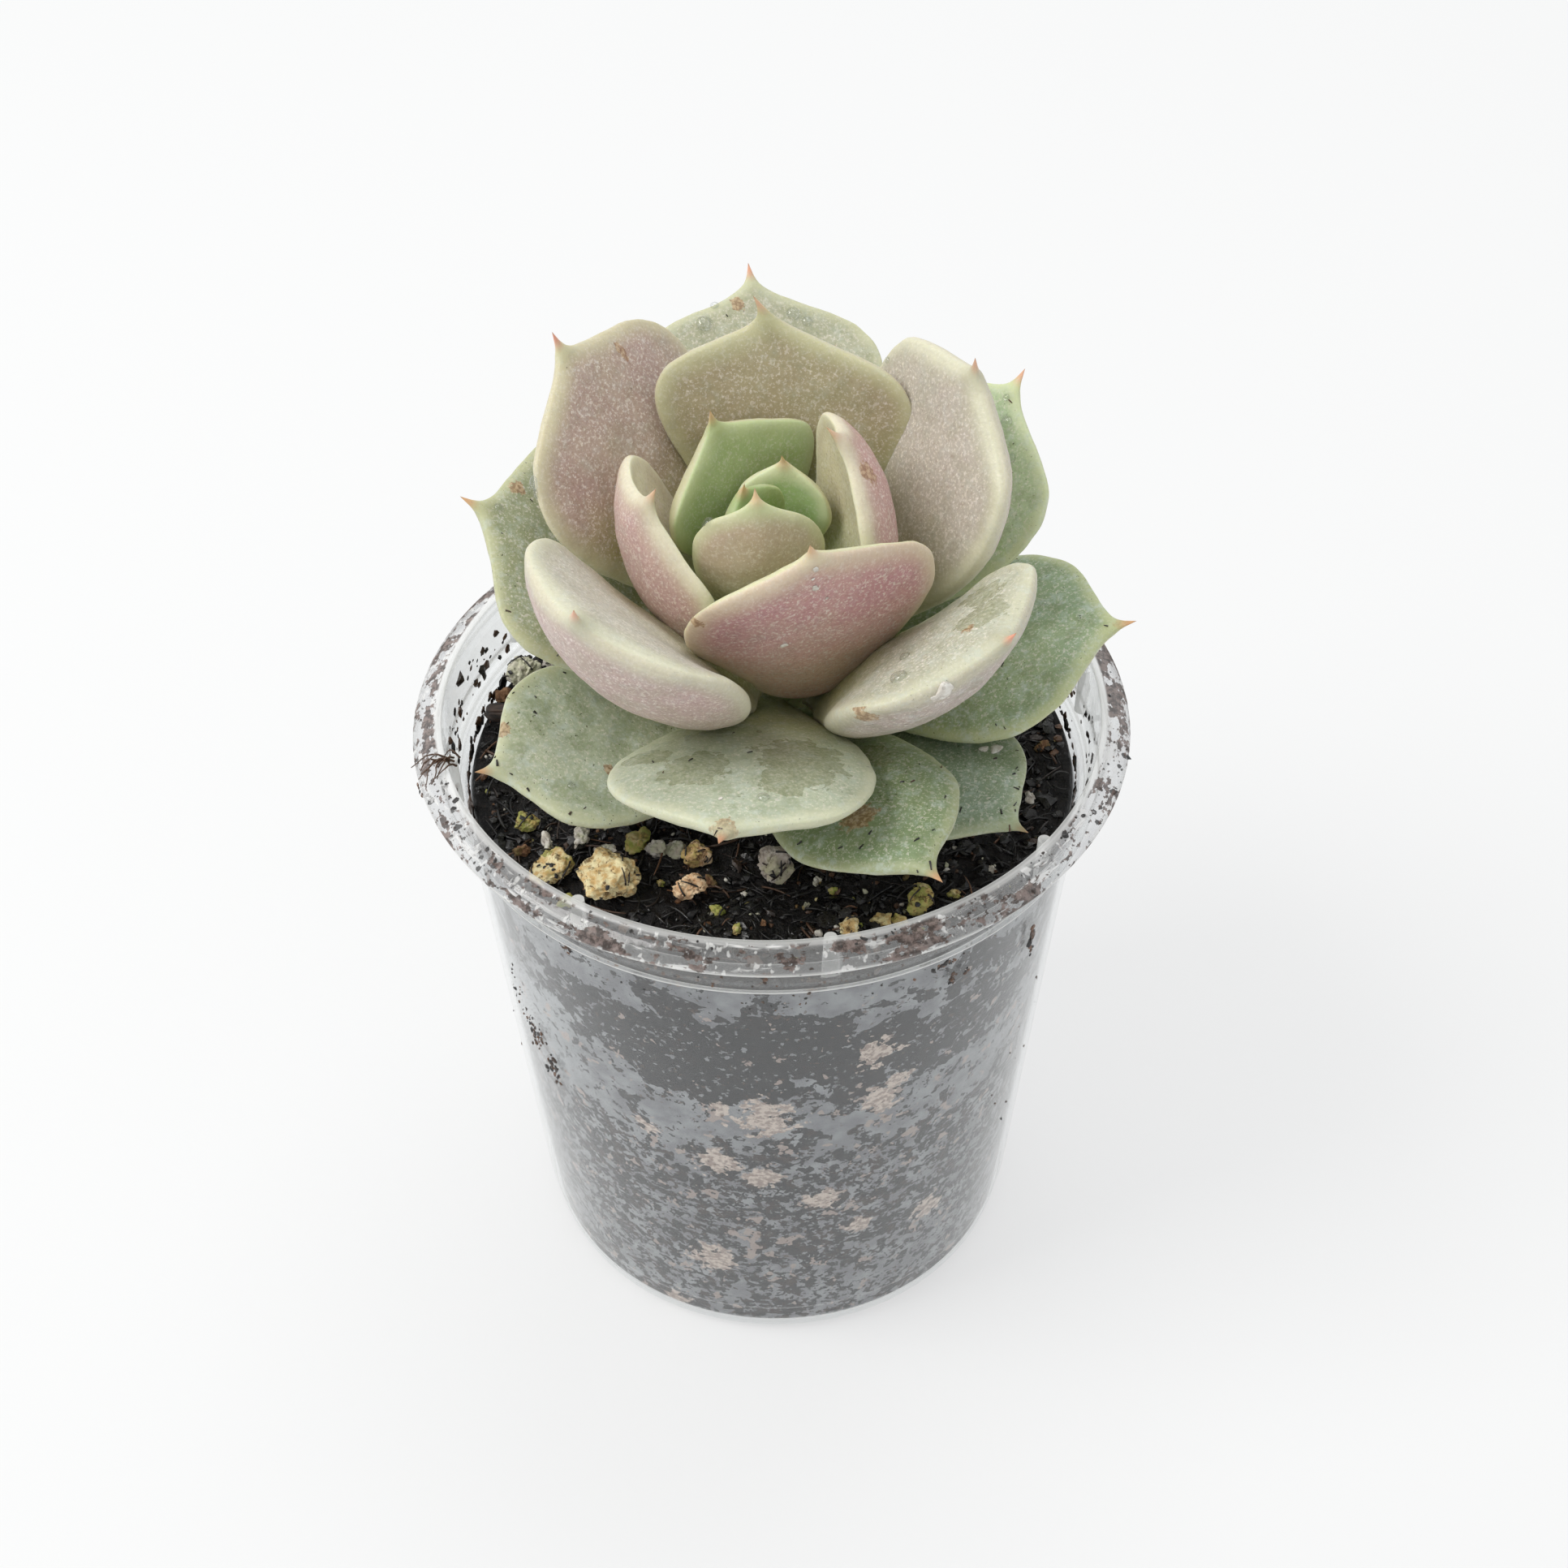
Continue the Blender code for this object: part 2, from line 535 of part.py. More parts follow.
def main():
    clear_scene()
    parts = collection("potted_succulent")
    cutters = collection("cutters", hidden=True)
    make_pot(parts, cutters)
    make_soil(parts, cutters)
    make_plant(parts)
    stone = material("pumice", (0.62, 0.52, 0.34), 0.9)
    white = material("perlite", (0.80, 0.78, 0.74), 0.85)
    for number, (name, row) in enumerate(GRAINS.items()):
        make_grain(name, row, number, parts, white if name.startswith("perlite") else stone)
    make_bark(parts)
    bpy.context.view_layer.update()


main()
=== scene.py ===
"""Looks of the potted succulent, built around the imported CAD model.

All positions are metres in the CAD's frame: the pot stands on Z = 0, its axis
is Z, and the rosette leans a little towards -Y. Tables are in millimetres.
"""
import math
import random

import bmesh
import bpy
import numpy as np
from mathutils import Matrix, Vector, noise


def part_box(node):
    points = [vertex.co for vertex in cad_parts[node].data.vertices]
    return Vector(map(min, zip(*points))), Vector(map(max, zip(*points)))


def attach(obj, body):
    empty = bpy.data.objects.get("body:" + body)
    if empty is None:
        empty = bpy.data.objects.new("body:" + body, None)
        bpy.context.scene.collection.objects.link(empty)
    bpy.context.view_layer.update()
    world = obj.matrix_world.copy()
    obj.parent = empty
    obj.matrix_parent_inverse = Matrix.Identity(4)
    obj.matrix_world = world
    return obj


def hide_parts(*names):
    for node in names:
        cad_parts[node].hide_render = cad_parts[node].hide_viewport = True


MM = 0.001

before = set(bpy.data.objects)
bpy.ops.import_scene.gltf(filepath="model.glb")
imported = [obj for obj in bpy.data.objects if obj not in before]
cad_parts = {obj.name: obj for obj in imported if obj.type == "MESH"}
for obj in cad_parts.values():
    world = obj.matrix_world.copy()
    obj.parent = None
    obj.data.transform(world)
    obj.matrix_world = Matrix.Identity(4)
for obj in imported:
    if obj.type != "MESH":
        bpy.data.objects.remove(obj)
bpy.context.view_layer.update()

# ---------------------------------------------------------------- pot, mm
RIM_OUTER_R = 30.0
RIM_INNER_R = 27.5
POT_HEIGHT = 58.9
RIM_UNDER_Z = 57.0
BAND_TOP_R = 28.1
BAND_BOTTOM_R = 27.7
BAND_BOTTOM_Z = 52.9
WALL_TOP_R = 26.5
WALL_TOP_Z = 52.3
BASE_R = 22.0
WALL = 0.8
FLOOR = 0.8
LUG_AZIMUTHS = (193.4, 235.8, 279.1, 322.5, 8.7, 54.9, 101.1, 147.2)
SOIL_Z = 52.1
SOIL_ROUGH = 0.45
GAP = 0.3

# ---------------------------------------------------------------- plant, mm
ROSETTE_AT = (0.5, 3.5, 57.0)
ROSETTE_LEAN = 15.0
STEM_PROFILE = ((-9.0, 3.2), (-8.0, 3.2), (6.0, 3.0), (11.0, 2.2), (14.0, 1.2), (14.6, 0.6))
INNER_TILT = 15.0

# Driving dimensions of each leaf, in the rosette's frame (degrees and mm):
# azimuth, height of the base, radius of the base, length, tilt at the base,
# tilt at the tip, how the tilt spreads, width, roll about the midrib, sideways
# bend, cupping of the blade, bluntness of the end, place of the widest point,
# skew of the tip, shift in x and y, thickness, length and radius of the spine.
LEAVES = {
    "leaf_outer_1": (213, 0.8, 3.8, 26.0, 11, 32, 0.90, 15.9, 9, -4, 29, 0.78, 0.62, 0.0, -0.2, -0.1, 3.6, 2.2, 0.85),
    "leaf_outer_2": (270, 5.8, 6.1, 26.6, 39, 34, 0.89, 20.4, -3, -11, 2, 0.71, 0.59, -0.2, -2.2, -0.5, 3.6, 2.2, 0.85),
    "leaf_outer_3": (292, 2.6, 5.5, 27.2, 36, 18, 0.92, 14.5, -3, 6, -1, 1.09, 0.60, 0.7, -0.8, -0.8, 3.6, 2.2, 0.85),
    "leaf_outer_4": (317, -0.9, 3.6, 25.5, 18, 24, 0.90, 15.5, 5, -4, 22, 0.80, 0.59, 0.0, 0.1, -0.2, 3.6, 2.2, 0.85),
    "leaf_outer_5": (359, 2.5, 4.2, 26.1, 14, 29, 0.88, 19.8, 6, -8, 1, 0.88, 0.58, 0.2, 0.8, -0.1, 3.6, 2.2, 0.85),
    "leaf_outer_6": (42, 5.3, 6.6, 24.4, 23, 50, 0.89, 21.0, 4, -4, 22, 0.82, 0.62, 0.5, 1.4, 0.8, 3.1, 2.2, 0.85),
    "leaf_outer_7": (89, 4.8, 9.4, 28.3, 0, 34, 0.81, 21.4, -11, 7, 23, 0.86, 0.68, 0.5, -0.6, 0.0, 3.2, 2.2, 0.85),
    "leaf_outer_8": (164, 3.7, 3.9, 26.8, 32, 38, 0.89, 22.6, -3, 7, 16, 0.81, 0.69, -0.1, -0.1, 0.2, 3.6, 2.2, 0.85),
    "leaf_middle_1": (145, 8.1, 4.4, 26.8, 35, 66, 0.83, 22.2, -5, 6, 8, 0.81, 0.63, -0.4, -0.1, 3.0, 3.6, 2.2, 0.85),
    "leaf_middle_2": (84, 10.6, 6.9, 21.7, 37, 79, 0.80, 21.8, 0, 1, 36, 1.05, 0.64, 3.4, 0.1, 0.4, 3.6, 2.2, 0.85),
    "leaf_middle_3": (31, 7.8, 5.7, 27.6, 27, 93, 0.88, 21.5, 15, 8, 24, 0.58, 0.62, 0.1, 0.5, -0.1, 3.6, 2.2, 0.85),
    "leaf_middle_4": (219, 9.4, 6.3, 28.4, 41, 82, 1.14, 22.7, -2, 8, 54, 0.70, 0.60, 1.2, -0.2, -1.4, 3.6, 2.2, 0.85),
    "leaf_middle_5": (315, 7.0, 6.9, 26.7, 47, 65, 0.90, 20.1, 2, 5, 44, 0.60, 0.68, 0.6, 1.3, -0.5, 3.6, 2.2, 0.85),
    "leaf_inner_1": (280, 10.7, 6.2, 23.5, 81, 81, 0.85, 20.1, 1, 16, 9, 0.71, 0.58, -1.2, 1.3, -0.2, 3.0, 2.2, 0.85),
    "leaf_inner_2": (179, 10.4, 3.6, 21.1, 37, 107, 0.95, 17.8, -4, 30, 40, 0.76, 0.58, 1.1, -0.1, -0.1, 3.0, 2.2, 0.85),
    "leaf_inner_3": (21, 10.9, 3.4, 22.2, 45, 124, 0.86, 15.8, 0, -12, 28, 0.72, 0.58, 0.7, 0.1, 0.0, 3.0, 2.2, 0.85),
    "leaf_inner_4": (119, 12.7, 4.2, 14.8, 52, 83, 0.82, 16.2, -9, 11, 38, 0.79, 0.61, 0.3, 0.1, 0.8, 3.0, 2.2, 0.85),
    "leaf_core_1": (267, 15.1, 2.3, 15.8, 63, 116, 0.81, 10.9, -4, 6, 41, 0.85, 0.55, -0.3, -1.0, -0.5, 2.2, 1.2, 0.50),
    "leaf_core_2": (80, 14.5, 2.3, 10.2, 54, 93, 0.82, 8.3, -1, -1, 51, 0.80, 0.55, 0.4, 0.1, 1.0, 2.2, 1.2, 0.50),
    "leaf_core_3": (151, 15.3, 1.7, 11.2, 69, 98, 0.78, 8.4, 4, -1, 52, 0.80, 0.55, -0.1, -0.1, 0.0, 2.2, 1.2, 0.50),
    "leaf_low_1": (129, 1.2, 4.5, 25.0, 8, 22, 0.90, 18.9, -4, 1, 19, 0.80, 0.63, 0.0, -0.9, 0.7, 3.2, 2.2, 0.85),
    "leaf_low_2": (70, -1.3, 4.5, 22.1, 4, 14, 0.90, 16.9, -13, 0, 13, 0.80, 0.62, 0.0, -0.6, 1.4, 3.2, 2.2, 0.85),
    "leaf_low_3": (30, 0.0, 4.5, 17.5, 4, 12, 0.90, 15.0, -10, 0, 20, 0.80, 0.62, 0.0, 0.3, 0.9, 3.2, 2.2, 0.85),
}

# Pumice and perlite lying on the soil: x, y, then the three sizes, mm
GRAINS = {
    "pumice_1": (-12.9, -16.0, 5.6, 4.8, 3.6),
    "pumice_2": (-18.0, -14.0, 3.9, 3.4, 2.6),
    "pumice_3": (-6.4, -12.6, 2.5, 2.4, 2.2),
    "pumice_4": (-7.0, -16.4, 3.1, 2.4, 2.2),
    "pumice_5": (0.1, -14.2, 3.1, 3.0, 3.0),
    "pumice_6": (11.7, -18.6, 2.2, 2.2, 2.6),
    "pumice_7": (5.9, -21.0, 2.1, 2.0, 1.8),
    "pumice_8": (-20.4, -8.4, 2.2, 2.0, 1.6),
    "perlite_1": (-21.6, 10.0, 3.8, 3.6, 3.2),
    "perlite_2": (22.0, 6.5, 2.4, 2.6, 1.8),
    "perlite_3": (12.0, 20.5, 3.0, 2.6, 2.2),
}
BARK_AT = (-22.3, 4.6, 53.75)
BARK_SIZE = (4.6, 1.9, 1.5)
BARK_TURN = -4.0


def rosette_matrix():
    return Matrix.Translation(Vector(ROSETTE_AT) * MM) @ Matrix.Rotation(math.radians(ROSETTE_LEAN), 4, "X")


def stem_radius(z):
    heights = [h for h, _ in STEM_PROFILE]
    radii = [r for _, r in STEM_PROFILE]
    return float(np.interp(z, heights, radii))


# How far the middle of the upper face is filled out, mm
FILL = {
    "leaf_middle_4": 2.4, "leaf_middle_5": 2.2, "leaf_middle_3": 1.2, "leaf_middle_1": 0.7, "leaf_middle_2": 0.7,
    "leaf_inner_2": -0.4, "leaf_inner_3": -0.4, "leaf_inner_1": 0.5,
}
# Leaves that are plumper to look at than their solid
PLUMP = {"leaf_middle_3": 1.45, "leaf_middle_4": 1.15, "leaf_middle_5": 1.15, "leaf_inner_2": 1.25, "leaf_inner_3": 1.25, "leaf_outer_2": 1.2}


class Leaf:
    """Shape of one leaf in its own frame: the midrib starts near the stem,
    heads along +X and lies in the XZ plane, apart from its sideways bend."""

    def __init__(self, row, name):
        self.fill, self.plump = FILL.get(name, 0.3), PLUMP.get(name, 1.0)
        (self.azimuth, self.base_z, self.base_r, self.length, self.tilt0, self.tilt1, self.spread,
         self.width, self.roll, self.bend, self.cup, self.blunt, self.widest, self.skew,
         self.dx, self.dy, self.thick, self.spine, self.spine_r) = row
        self.body = self.length - 0.75 * self.spine
        self.foot_tilt = min(self.tilt0, INNER_TILT)
        a, b = math.radians(self.tilt0), math.radians(self.foot_tilt)
        mean = math.cos(a) if abs(a - b) < 1e-3 else (math.sin(a) - math.sin(b)) / (a - b)
        reach = max(self.base_r - stem_radius(self.base_z) - 1.8 * GAP, 0.0)
        self.foot = reach / max(mean, 0.3)   # length of the foot that reaches in to the stem

    def tilt(self, x):
        """Angle of the midrib above the horizontal, x mm along it."""
        s = min(max(x / self.length, 0.0), 1.0)
        angle = self.tilt0 + (self.tilt1 - self.tilt0) * s ** self.spread
        if x < 0 and self.foot > 0:
            angle += (self.foot_tilt - self.tilt0) * min(-x / self.foot, 1.0)
        return math.radians(angle)

    def axes(self, x):
        a = self.tilt(x)
        h = math.radians(self.bend) * min(max(x / self.length, 0.0), 1.0)
        ahead = Vector((math.cos(a) * math.cos(h), math.cos(a) * math.sin(h), math.sin(a)))
        above = Vector((-math.sin(a) * math.cos(h), -math.sin(a) * math.sin(h), math.cos(a)))
        side = above.cross(ahead)
        r = math.radians(self.roll)
        return ahead, above * math.cos(r) + side * math.sin(r), side * math.cos(r) - above * math.sin(r)

    def midrib(self, x):
        """Point of the midrib, by adding up short steps along it."""
        steps = 24
        at = Vector((0.0, 0.0, 0.0))
        for k in range(steps):
            ahead, _, _ = self.axes(x * (k + 0.5) / steps)
            at += ahead * (x / steps)
        return at

    def half_width(self, x):
        v = max(x / self.body, 0.0)
        if v < self.widest:
            g = 0.42 + 0.58 * math.sin(math.pi / 2 * v / self.widest) ** 1.35
        else:
            q = min((v - self.widest) / (1 - self.widest), 1.0)
            g = max(1 - q ** 2.3, 0.0) ** self.blunt
        g *= 1 - 0.42 * min(max(-x / 3.0, 0.0), 1.0)
        # the margins sweep in to the spine
        k = self.spine / 2.2
        s = min(max(((self.length - x) / k - 1.2) / 5.0, 0.0), 1.0)
        s *= s * (3 - 2 * s)
        return self.width / 2 * g * s + self.spine_half(x) * (1 - s)

    def spine_half(self, x):
        k = self.spine / 2.2
        d = max((self.length - x) / k, 0.0)
        return k * (0.27 * d + 0.22 * max(d - 1, 0.0) ** 1.6)

    def thickness(self, x):
        v = min(max(x / self.body, 0.0), 1.0)
        t = self.thick * self.plump * (0.62 + 0.38 * math.sin(math.pi * min(v / 0.95, 1.0)))
        t *= max(1 - v ** 4, 0.0) ** 0.45 * (1 - 0.2 * min(max(-x / 3.0, 0.0), 1.0))
        tip = 1.3 * min(self.spine_half(x), 0.36 * self.spine)
        return (t ** 4 + tip ** 4) ** 0.25

    def point(self, x, turn):
        """Point of the skin x mm along the midrib, turn radians round it."""
        u, w = math.cos(turn), math.sin(turn)
        half, t = self.half_width(x), self.thickness(x)
        s = x / self.length
        body = max(1 - (max(x, 0.0) / self.body) ** 6, 0.0)
        curl = 0.35 + 0.65 * math.sin(math.pi / 2 * min(max(s / 0.75, 0.0), 1.0)) + 1.36 * min(s, 0.0)
        curl = math.radians(self.cup) * max(curl, 0.1) * body + 1e-4
        edge = min(0.64 * t, 2.9)
        depth = edge * 0.5 * abs(w) ** 0.7 + (t - edge) * 0.5 * w * w
        if w >= 0:
            off = 0.8 * depth + self.fill * body * w * w * min(max(0.4 + 2 * s, 0.0), 1.0)
        else:
            keel = 0.12 * body * math.exp(-((u / 0.3) ** 2)) * min(max(4 * s, 0.0), 1.0)
            off = -1.2 * depth - keel
        radius = half / curl
        _, above, side = self.axes(x)
        y = (radius - off) * math.sin(curl * u) + self.skew * min(max(s, 0.0), 1.0) ** 4
        z = radius * (1 - math.cos(curl * u)) + off * math.cos(curl * u)
        return self.midrib(x) + side * y + above * z


# ---------------------------------------------------------------- shader helpers
def linear(rgb):
    """A colour given as 0-255 display values, in linear light."""
    out = []
    for c in rgb[:3]:
        c = c / 255.0
        out.append(c / 12.92 if c <= 0.04045 else ((c + 0.055) / 1.055) ** 2.4)
    return tuple(out) + (1.0,)


class Tree:
    """Short names for building a material's node tree."""

    def __init__(self, name):
        self.material = bpy.data.materials.new(name)
        self.material.use_nodes = True
        self.nodes = self.material.node_tree.nodes
        self.links = self.material.node_tree.links
        self.nodes.clear()
        self.out = self.node("ShaderNodeOutputMaterial")
        self.place = self.node("ShaderNodeTexCoord").outputs["Object"]

    def node(self, kind, **props):
        made = self.nodes.new(kind)
        for key, value in props.items():
            setattr(made, key, value)
        return made

    def feed(self, socket, value):
        if isinstance(value, bpy.types.NodeSocket):
            self.links.new(value, socket)
        elif isinstance(value, (tuple, list)) and len(value) == 3 and socket.type == "RGBA":
            socket.default_value = linear(value)
        else:
            socket.default_value = value

    def attribute(self, name):
        return self.node("ShaderNodeAttribute", attribute_name=name).outputs["Fac"]

    def math(self, operation, a, b=0.0, c=0.0, clamp=False):
        made = self.node("ShaderNodeMath", operation=operation, use_clamp=clamp)
        for socket, value in zip(made.inputs, (a, b, c)):
            self.feed(socket, value)
        return made.outputs[0]

    def span(self, x, low, high, a=0.0, b=1.0, smooth=True):
        """a to b as x goes from low to high."""
        made = self.node("ShaderNodeMapRange", interpolation_type="SMOOTHSTEP" if smooth else "LINEAR")
        for socket, value in zip((made.inputs[0], made.inputs[1], made.inputs[2], made.inputs[3], made.inputs[4]), (x, low, high, a, b)):
            self.feed(socket, value)
        return made.outputs[0]

    def mix(self, factor, a, b, mode="MIX"):
        made = self.node("ShaderNodeMix", data_type="RGBA", blend_type=mode)
        self.feed(made.inputs["Factor"], factor)
        sockets = [s for s in made.inputs if s.type == "RGBA"]
        self.feed(sockets[0], a)
        self.feed(sockets[1], b)
        return [s for s in made.outputs if s.type == "RGBA"][0]

    def noise(self, scale, detail=2.0, rough=0.5, at=None, shift=None, distort=0.0):
        made = self.node("ShaderNodeTexNoise")
        where = at or self.place
        if shift is not None:
            moved = self.node("ShaderNodeVectorMath", operation="ADD")
            self.feed(moved.inputs[0], where)
            moved.inputs[1].default_value = shift
            where = moved.outputs[0]
        self.feed(made.inputs["Vector"], where)
        made.inputs["Scale"].default_value = scale
        made.inputs["Detail"].default_value = detail
        made.inputs["Roughness"].default_value = rough
        made.inputs["Distortion"].default_value = distort
        return made.outputs["Fac"]

    def cells(self, scale, at=None, feature="F1", output="Distance"):
        made = self.node("ShaderNodeTexVoronoi", feature=feature)
        self.feed(made.inputs["Vector"], at or self.place)
        made.inputs["Scale"].default_value = scale
        return made.outputs[output]

    def stretched(self, x, y, z):
        made = self.node("ShaderNodeMapping")
        self.feed(made.inputs["Vector"], self.place)
        made.inputs["Scale"].default_value = (x, y, z)
        return made.outputs[0]

    def around(self, size):
        """Coordinates that run round the pot's axis, as if its radius were size."""
        split = self.node("ShaderNodeSeparateXYZ")
        self.feed(split.inputs[0], self.place)
        x, y, z = split.outputs
        r = self.math("SQRT", self.math("ADD", self.math("MULTIPLY", x, x), self.math("MULTIPLY", y, y)))
        made = self.node("ShaderNodeCombineXYZ")
        self.feed(made.inputs[0], self.math("MULTIPLY", self.math("DIVIDE", x, r), size))
        self.feed(made.inputs[1], self.math("MULTIPLY", self.math("DIVIDE", y, r), size))
        self.feed(made.inputs[2], self.math("SUBTRACT", z, r))
        return made.outputs[0]

    def blobs(self, rows, wobble):
        """1 inside any of the round patches x, y, z, radius (mm), with ragged edges."""
        total = None
        for x, y, z, radius in rows:
            away = self.node("ShaderNodeVectorMath", operation="DISTANCE")
            self.feed(away.inputs[0], self.place)
            away.inputs[1].default_value = (x * MM, y * MM, z * MM)
            inside = self.math("MULTIPLY_ADD", away.outputs["Value"], -1.0 / (radius * MM), 1.0)
            total = inside if total is None else self.math("MAXIMUM", total, inside)
        return self.span(self.math("ADD", total, wobble), -0.03, 0.03)

    def bump(self, height, strength, distance):
        made = self.node("ShaderNodeBump")
        made.inputs["Strength"].default_value = strength
        made.inputs["Distance"].default_value = distance
        self.feed(made.inputs["Height"], height)
        return made.outputs[0]

    def principled(self, **values):
        made = self.node("ShaderNodeBsdfPrincipled")
        for key, value in values.items():
            self.feed(made.inputs[key.replace("_", " ")], value)
        return made.outputs[0]

    def blend(self, factor, a, b):
        made = self.node("ShaderNodeMixShader")
        self.feed(made.inputs[0], factor)
        self.links.new(a, made.inputs[1])
        self.links.new(b, made.inputs[2])
        return made.outputs[0]

    def done(self, surface):
        self.links.new(surface, self.out.inputs["Surface"])
        return self.material


def mesh_object(name, points, faces, attributes=None, smooth=True):
    """A mesh from points in mm."""
    mesh = bpy.data.meshes.new(name)
    mesh.from_pydata((np.asarray(points, float) * MM).tolist(), [], [list(f) for f in faces])
    for key, values in (attributes or {}).items():
        made = mesh.attributes.new(key, "FLOAT", "POINT")
        made.data.foreach_set("value", np.asarray(values, np.float32))
    obj = bpy.data.objects.new(name, mesh)
    bpy.context.scene.collection.objects.link(obj)
    if smooth:
        mesh.shade_smooth()
    return obj


def piece(obj, material, nodes=()):
    """Gives the object its material and ties it to the plant's one body."""
    obj.data.materials.clear()
    obj.data.materials.append(material)
    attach(obj, "root")
    if nodes:
        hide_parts(*nodes)
    return obj


def step(x, low, high):
    t = np.clip((np.asarray(x, float) - low) / (high - low), 0.0, 1.0)
    return t * t * (3 - 2 * t)


# ---------------------------------------------------------------- leaves
ROSETTE = rosette_matrix()
AROUND, ALONG = 112, 88

# Colours of each leaf as display values: upper face, its foot, lower face, its
# foot, margin, spine; then width of the pale margin in mm, frost,
# dirt and pink speckle amounts.
LOOKS = {
    "low": dict(up=(150, 165, 130), up_foot=(160, 170, 120), down=(165, 170, 140), down_foot=(170, 175, 130), edge=(182, 190, 145), spine=(180, 130, 95), rim=1.2, frost=0.5, dirt=0.5, speck=0.3),
    "outer": dict(up=(150, 166, 136), up_foot=(165, 172, 120), down=(172, 172, 145), down_foot=(175, 180, 135), edge=(186, 192, 150), spine=(196, 144, 108), rim=1.4, frost=0.8, dirt=0.35, speck=0.6),
    "middle": dict(up=(176, 160, 140), up_foot=(168, 166, 118), down=(196, 176, 172), down_foot=(196, 190, 162), edge=(198, 194, 160), spine=(216, 164, 146), rim=2.0, frost=0.3, dirt=0.06, speck=0.85),
    "inner": dict(up=(165, 180, 120), up_foot=(140, 165, 90), down=(186, 150, 146), down_foot=(190, 172, 146), edge=(206, 202, 168), spine=(214, 172, 142), rim=2.0, frost=0.2, dirt=0.02, speck=0.85),
    "core": dict(up=(165, 185, 120), up_foot=(130, 165, 85), down=(184, 176, 146), down_foot=(170, 175, 130), edge=(214, 218, 180), spine=(220, 180, 146), rim=1.4, frost=0.15, dirt=0.0, speck=0.7),
}
# crest_highlight sets how strong the painted highlight on a margin's crest is
OWN = {
    "leaf_outer_1": dict(up=(176, 186, 160), up_foot=(170, 175, 135), edge=(184, 188, 150), frost=1.0, dirt=0.5),
    "leaf_outer_2": dict(up=(180, 190, 166), up_foot=(176, 182, 132), down=(172, 170, 140), edge=(176, 180, 150), frost=0.7, dirt=0.25, spine=(186, 132, 104), crest_highlight=0.4),
    "leaf_outer_3": dict(up=(128, 148, 108), up_foot=(138, 156, 98), edge=(152, 158, 114), frost=0.9, dirt=0.45, rim=1.0),
    "leaf_outer_4": dict(up=(130, 150, 124), up_foot=(130, 145, 105), edge=(148, 158, 120), frost=0.7, dirt=0.5, rim=1.0, spine=(130, 110, 84)),
    "leaf_outer_5": dict(up=(140, 162, 126), up_foot=(138, 154, 92), edge=(188, 194, 142), frost=1.0, dirt=0.4, spine=(200, 146, 110)),
    "leaf_outer_6": dict(up=(178, 200, 156), up_foot=(140, 166, 88), edge=(202, 210, 164), frost=0.7, dirt=0.3, spine=(224, 158, 138)),
    "leaf_outer_7": dict(up=(174, 174, 148), up_foot=(160, 165, 120), edge=(192, 194, 158), frost=0.5, dirt=0.15, spine=(222, 150, 132)),
    "leaf_outer_8": dict(up=(146, 154, 120), up_foot=(156, 156, 108), edge=(184, 186, 144), frost=0.7, dirt=0.5, spine=(214, 160, 124)),
    "leaf_middle_1": dict(up=(182, 158, 148), up_foot=(174, 180, 108), edge=(202, 200, 160), spine=(220, 142, 136), dirt=0.1),
    "leaf_middle_2": dict(up=(168, 156, 126), up_foot=(158, 162, 102), edge=(188, 188, 146), spine=(220, 172, 152), speck=0.6, deep=(132, 122, 92)),
    "leaf_middle_3": dict(up=(190, 182, 170), up_foot=(180, 182, 126), down=(200, 178, 176), down_foot=(206, 198, 168), edge=(188, 186, 158), crest_highlight=0.45),
    "leaf_middle_4": dict(up=(196, 192, 178), up_foot=(172, 168, 110), down=(192, 166, 162), down_foot=(200, 184, 166), edge=(190, 190, 164), crest_highlight=0.4),
    "leaf_middle_5": dict(up=(182, 184, 164), up_foot=(180, 185, 125), down=(188, 172, 166), down_foot=(200, 184, 160), edge=(176, 174, 148), spine=(232, 152, 132), dirt=0.3, crest_highlight=0.35, frost=0.6),
    "leaf_inner_1": dict(down=(196, 146, 150), down_foot=(222, 186, 168), edge=(220, 212, 178), rim=2.4),
    # leaf_inner_2's upper face is made paler as painted light, to lift the shade in its hollow
    "leaf_inner_2": dict(up=(224, 220, 190), up_foot=(200, 206, 160), down=(194, 160, 156), down_foot=(198, 176, 152), edge=(202, 192, 166), rim=2.2, crest_highlight=0.6),
    "leaf_inner_3": dict(up=(222, 212, 180), up_foot=(200, 204, 150), down=(194, 152, 150), down_foot=(200, 178, 152), edge=(194, 180, 156), rim=2.0, crest_highlight=0.6),
    "leaf_inner_4": dict(up=(160, 182, 126), up_foot=(134, 164, 92), edge=(188, 200, 148), rim=2.2, speck=0.4),
    "leaf_core_1": dict(down=(190, 170, 150), down_foot=(174, 178, 134), edge=(196, 206, 160), speck=0.5),
    "leaf_core_2": dict(up=(160, 190, 124), up_foot=(124, 162, 90), speck=0.35),
    "leaf_core_3": dict(up=(150, 180, 108), up_foot=(110, 155, 75), edge=(160, 182, 122), speck=0.35),
}
GAIN = 0.98                    # from display values seen in shade to a surface's own colour

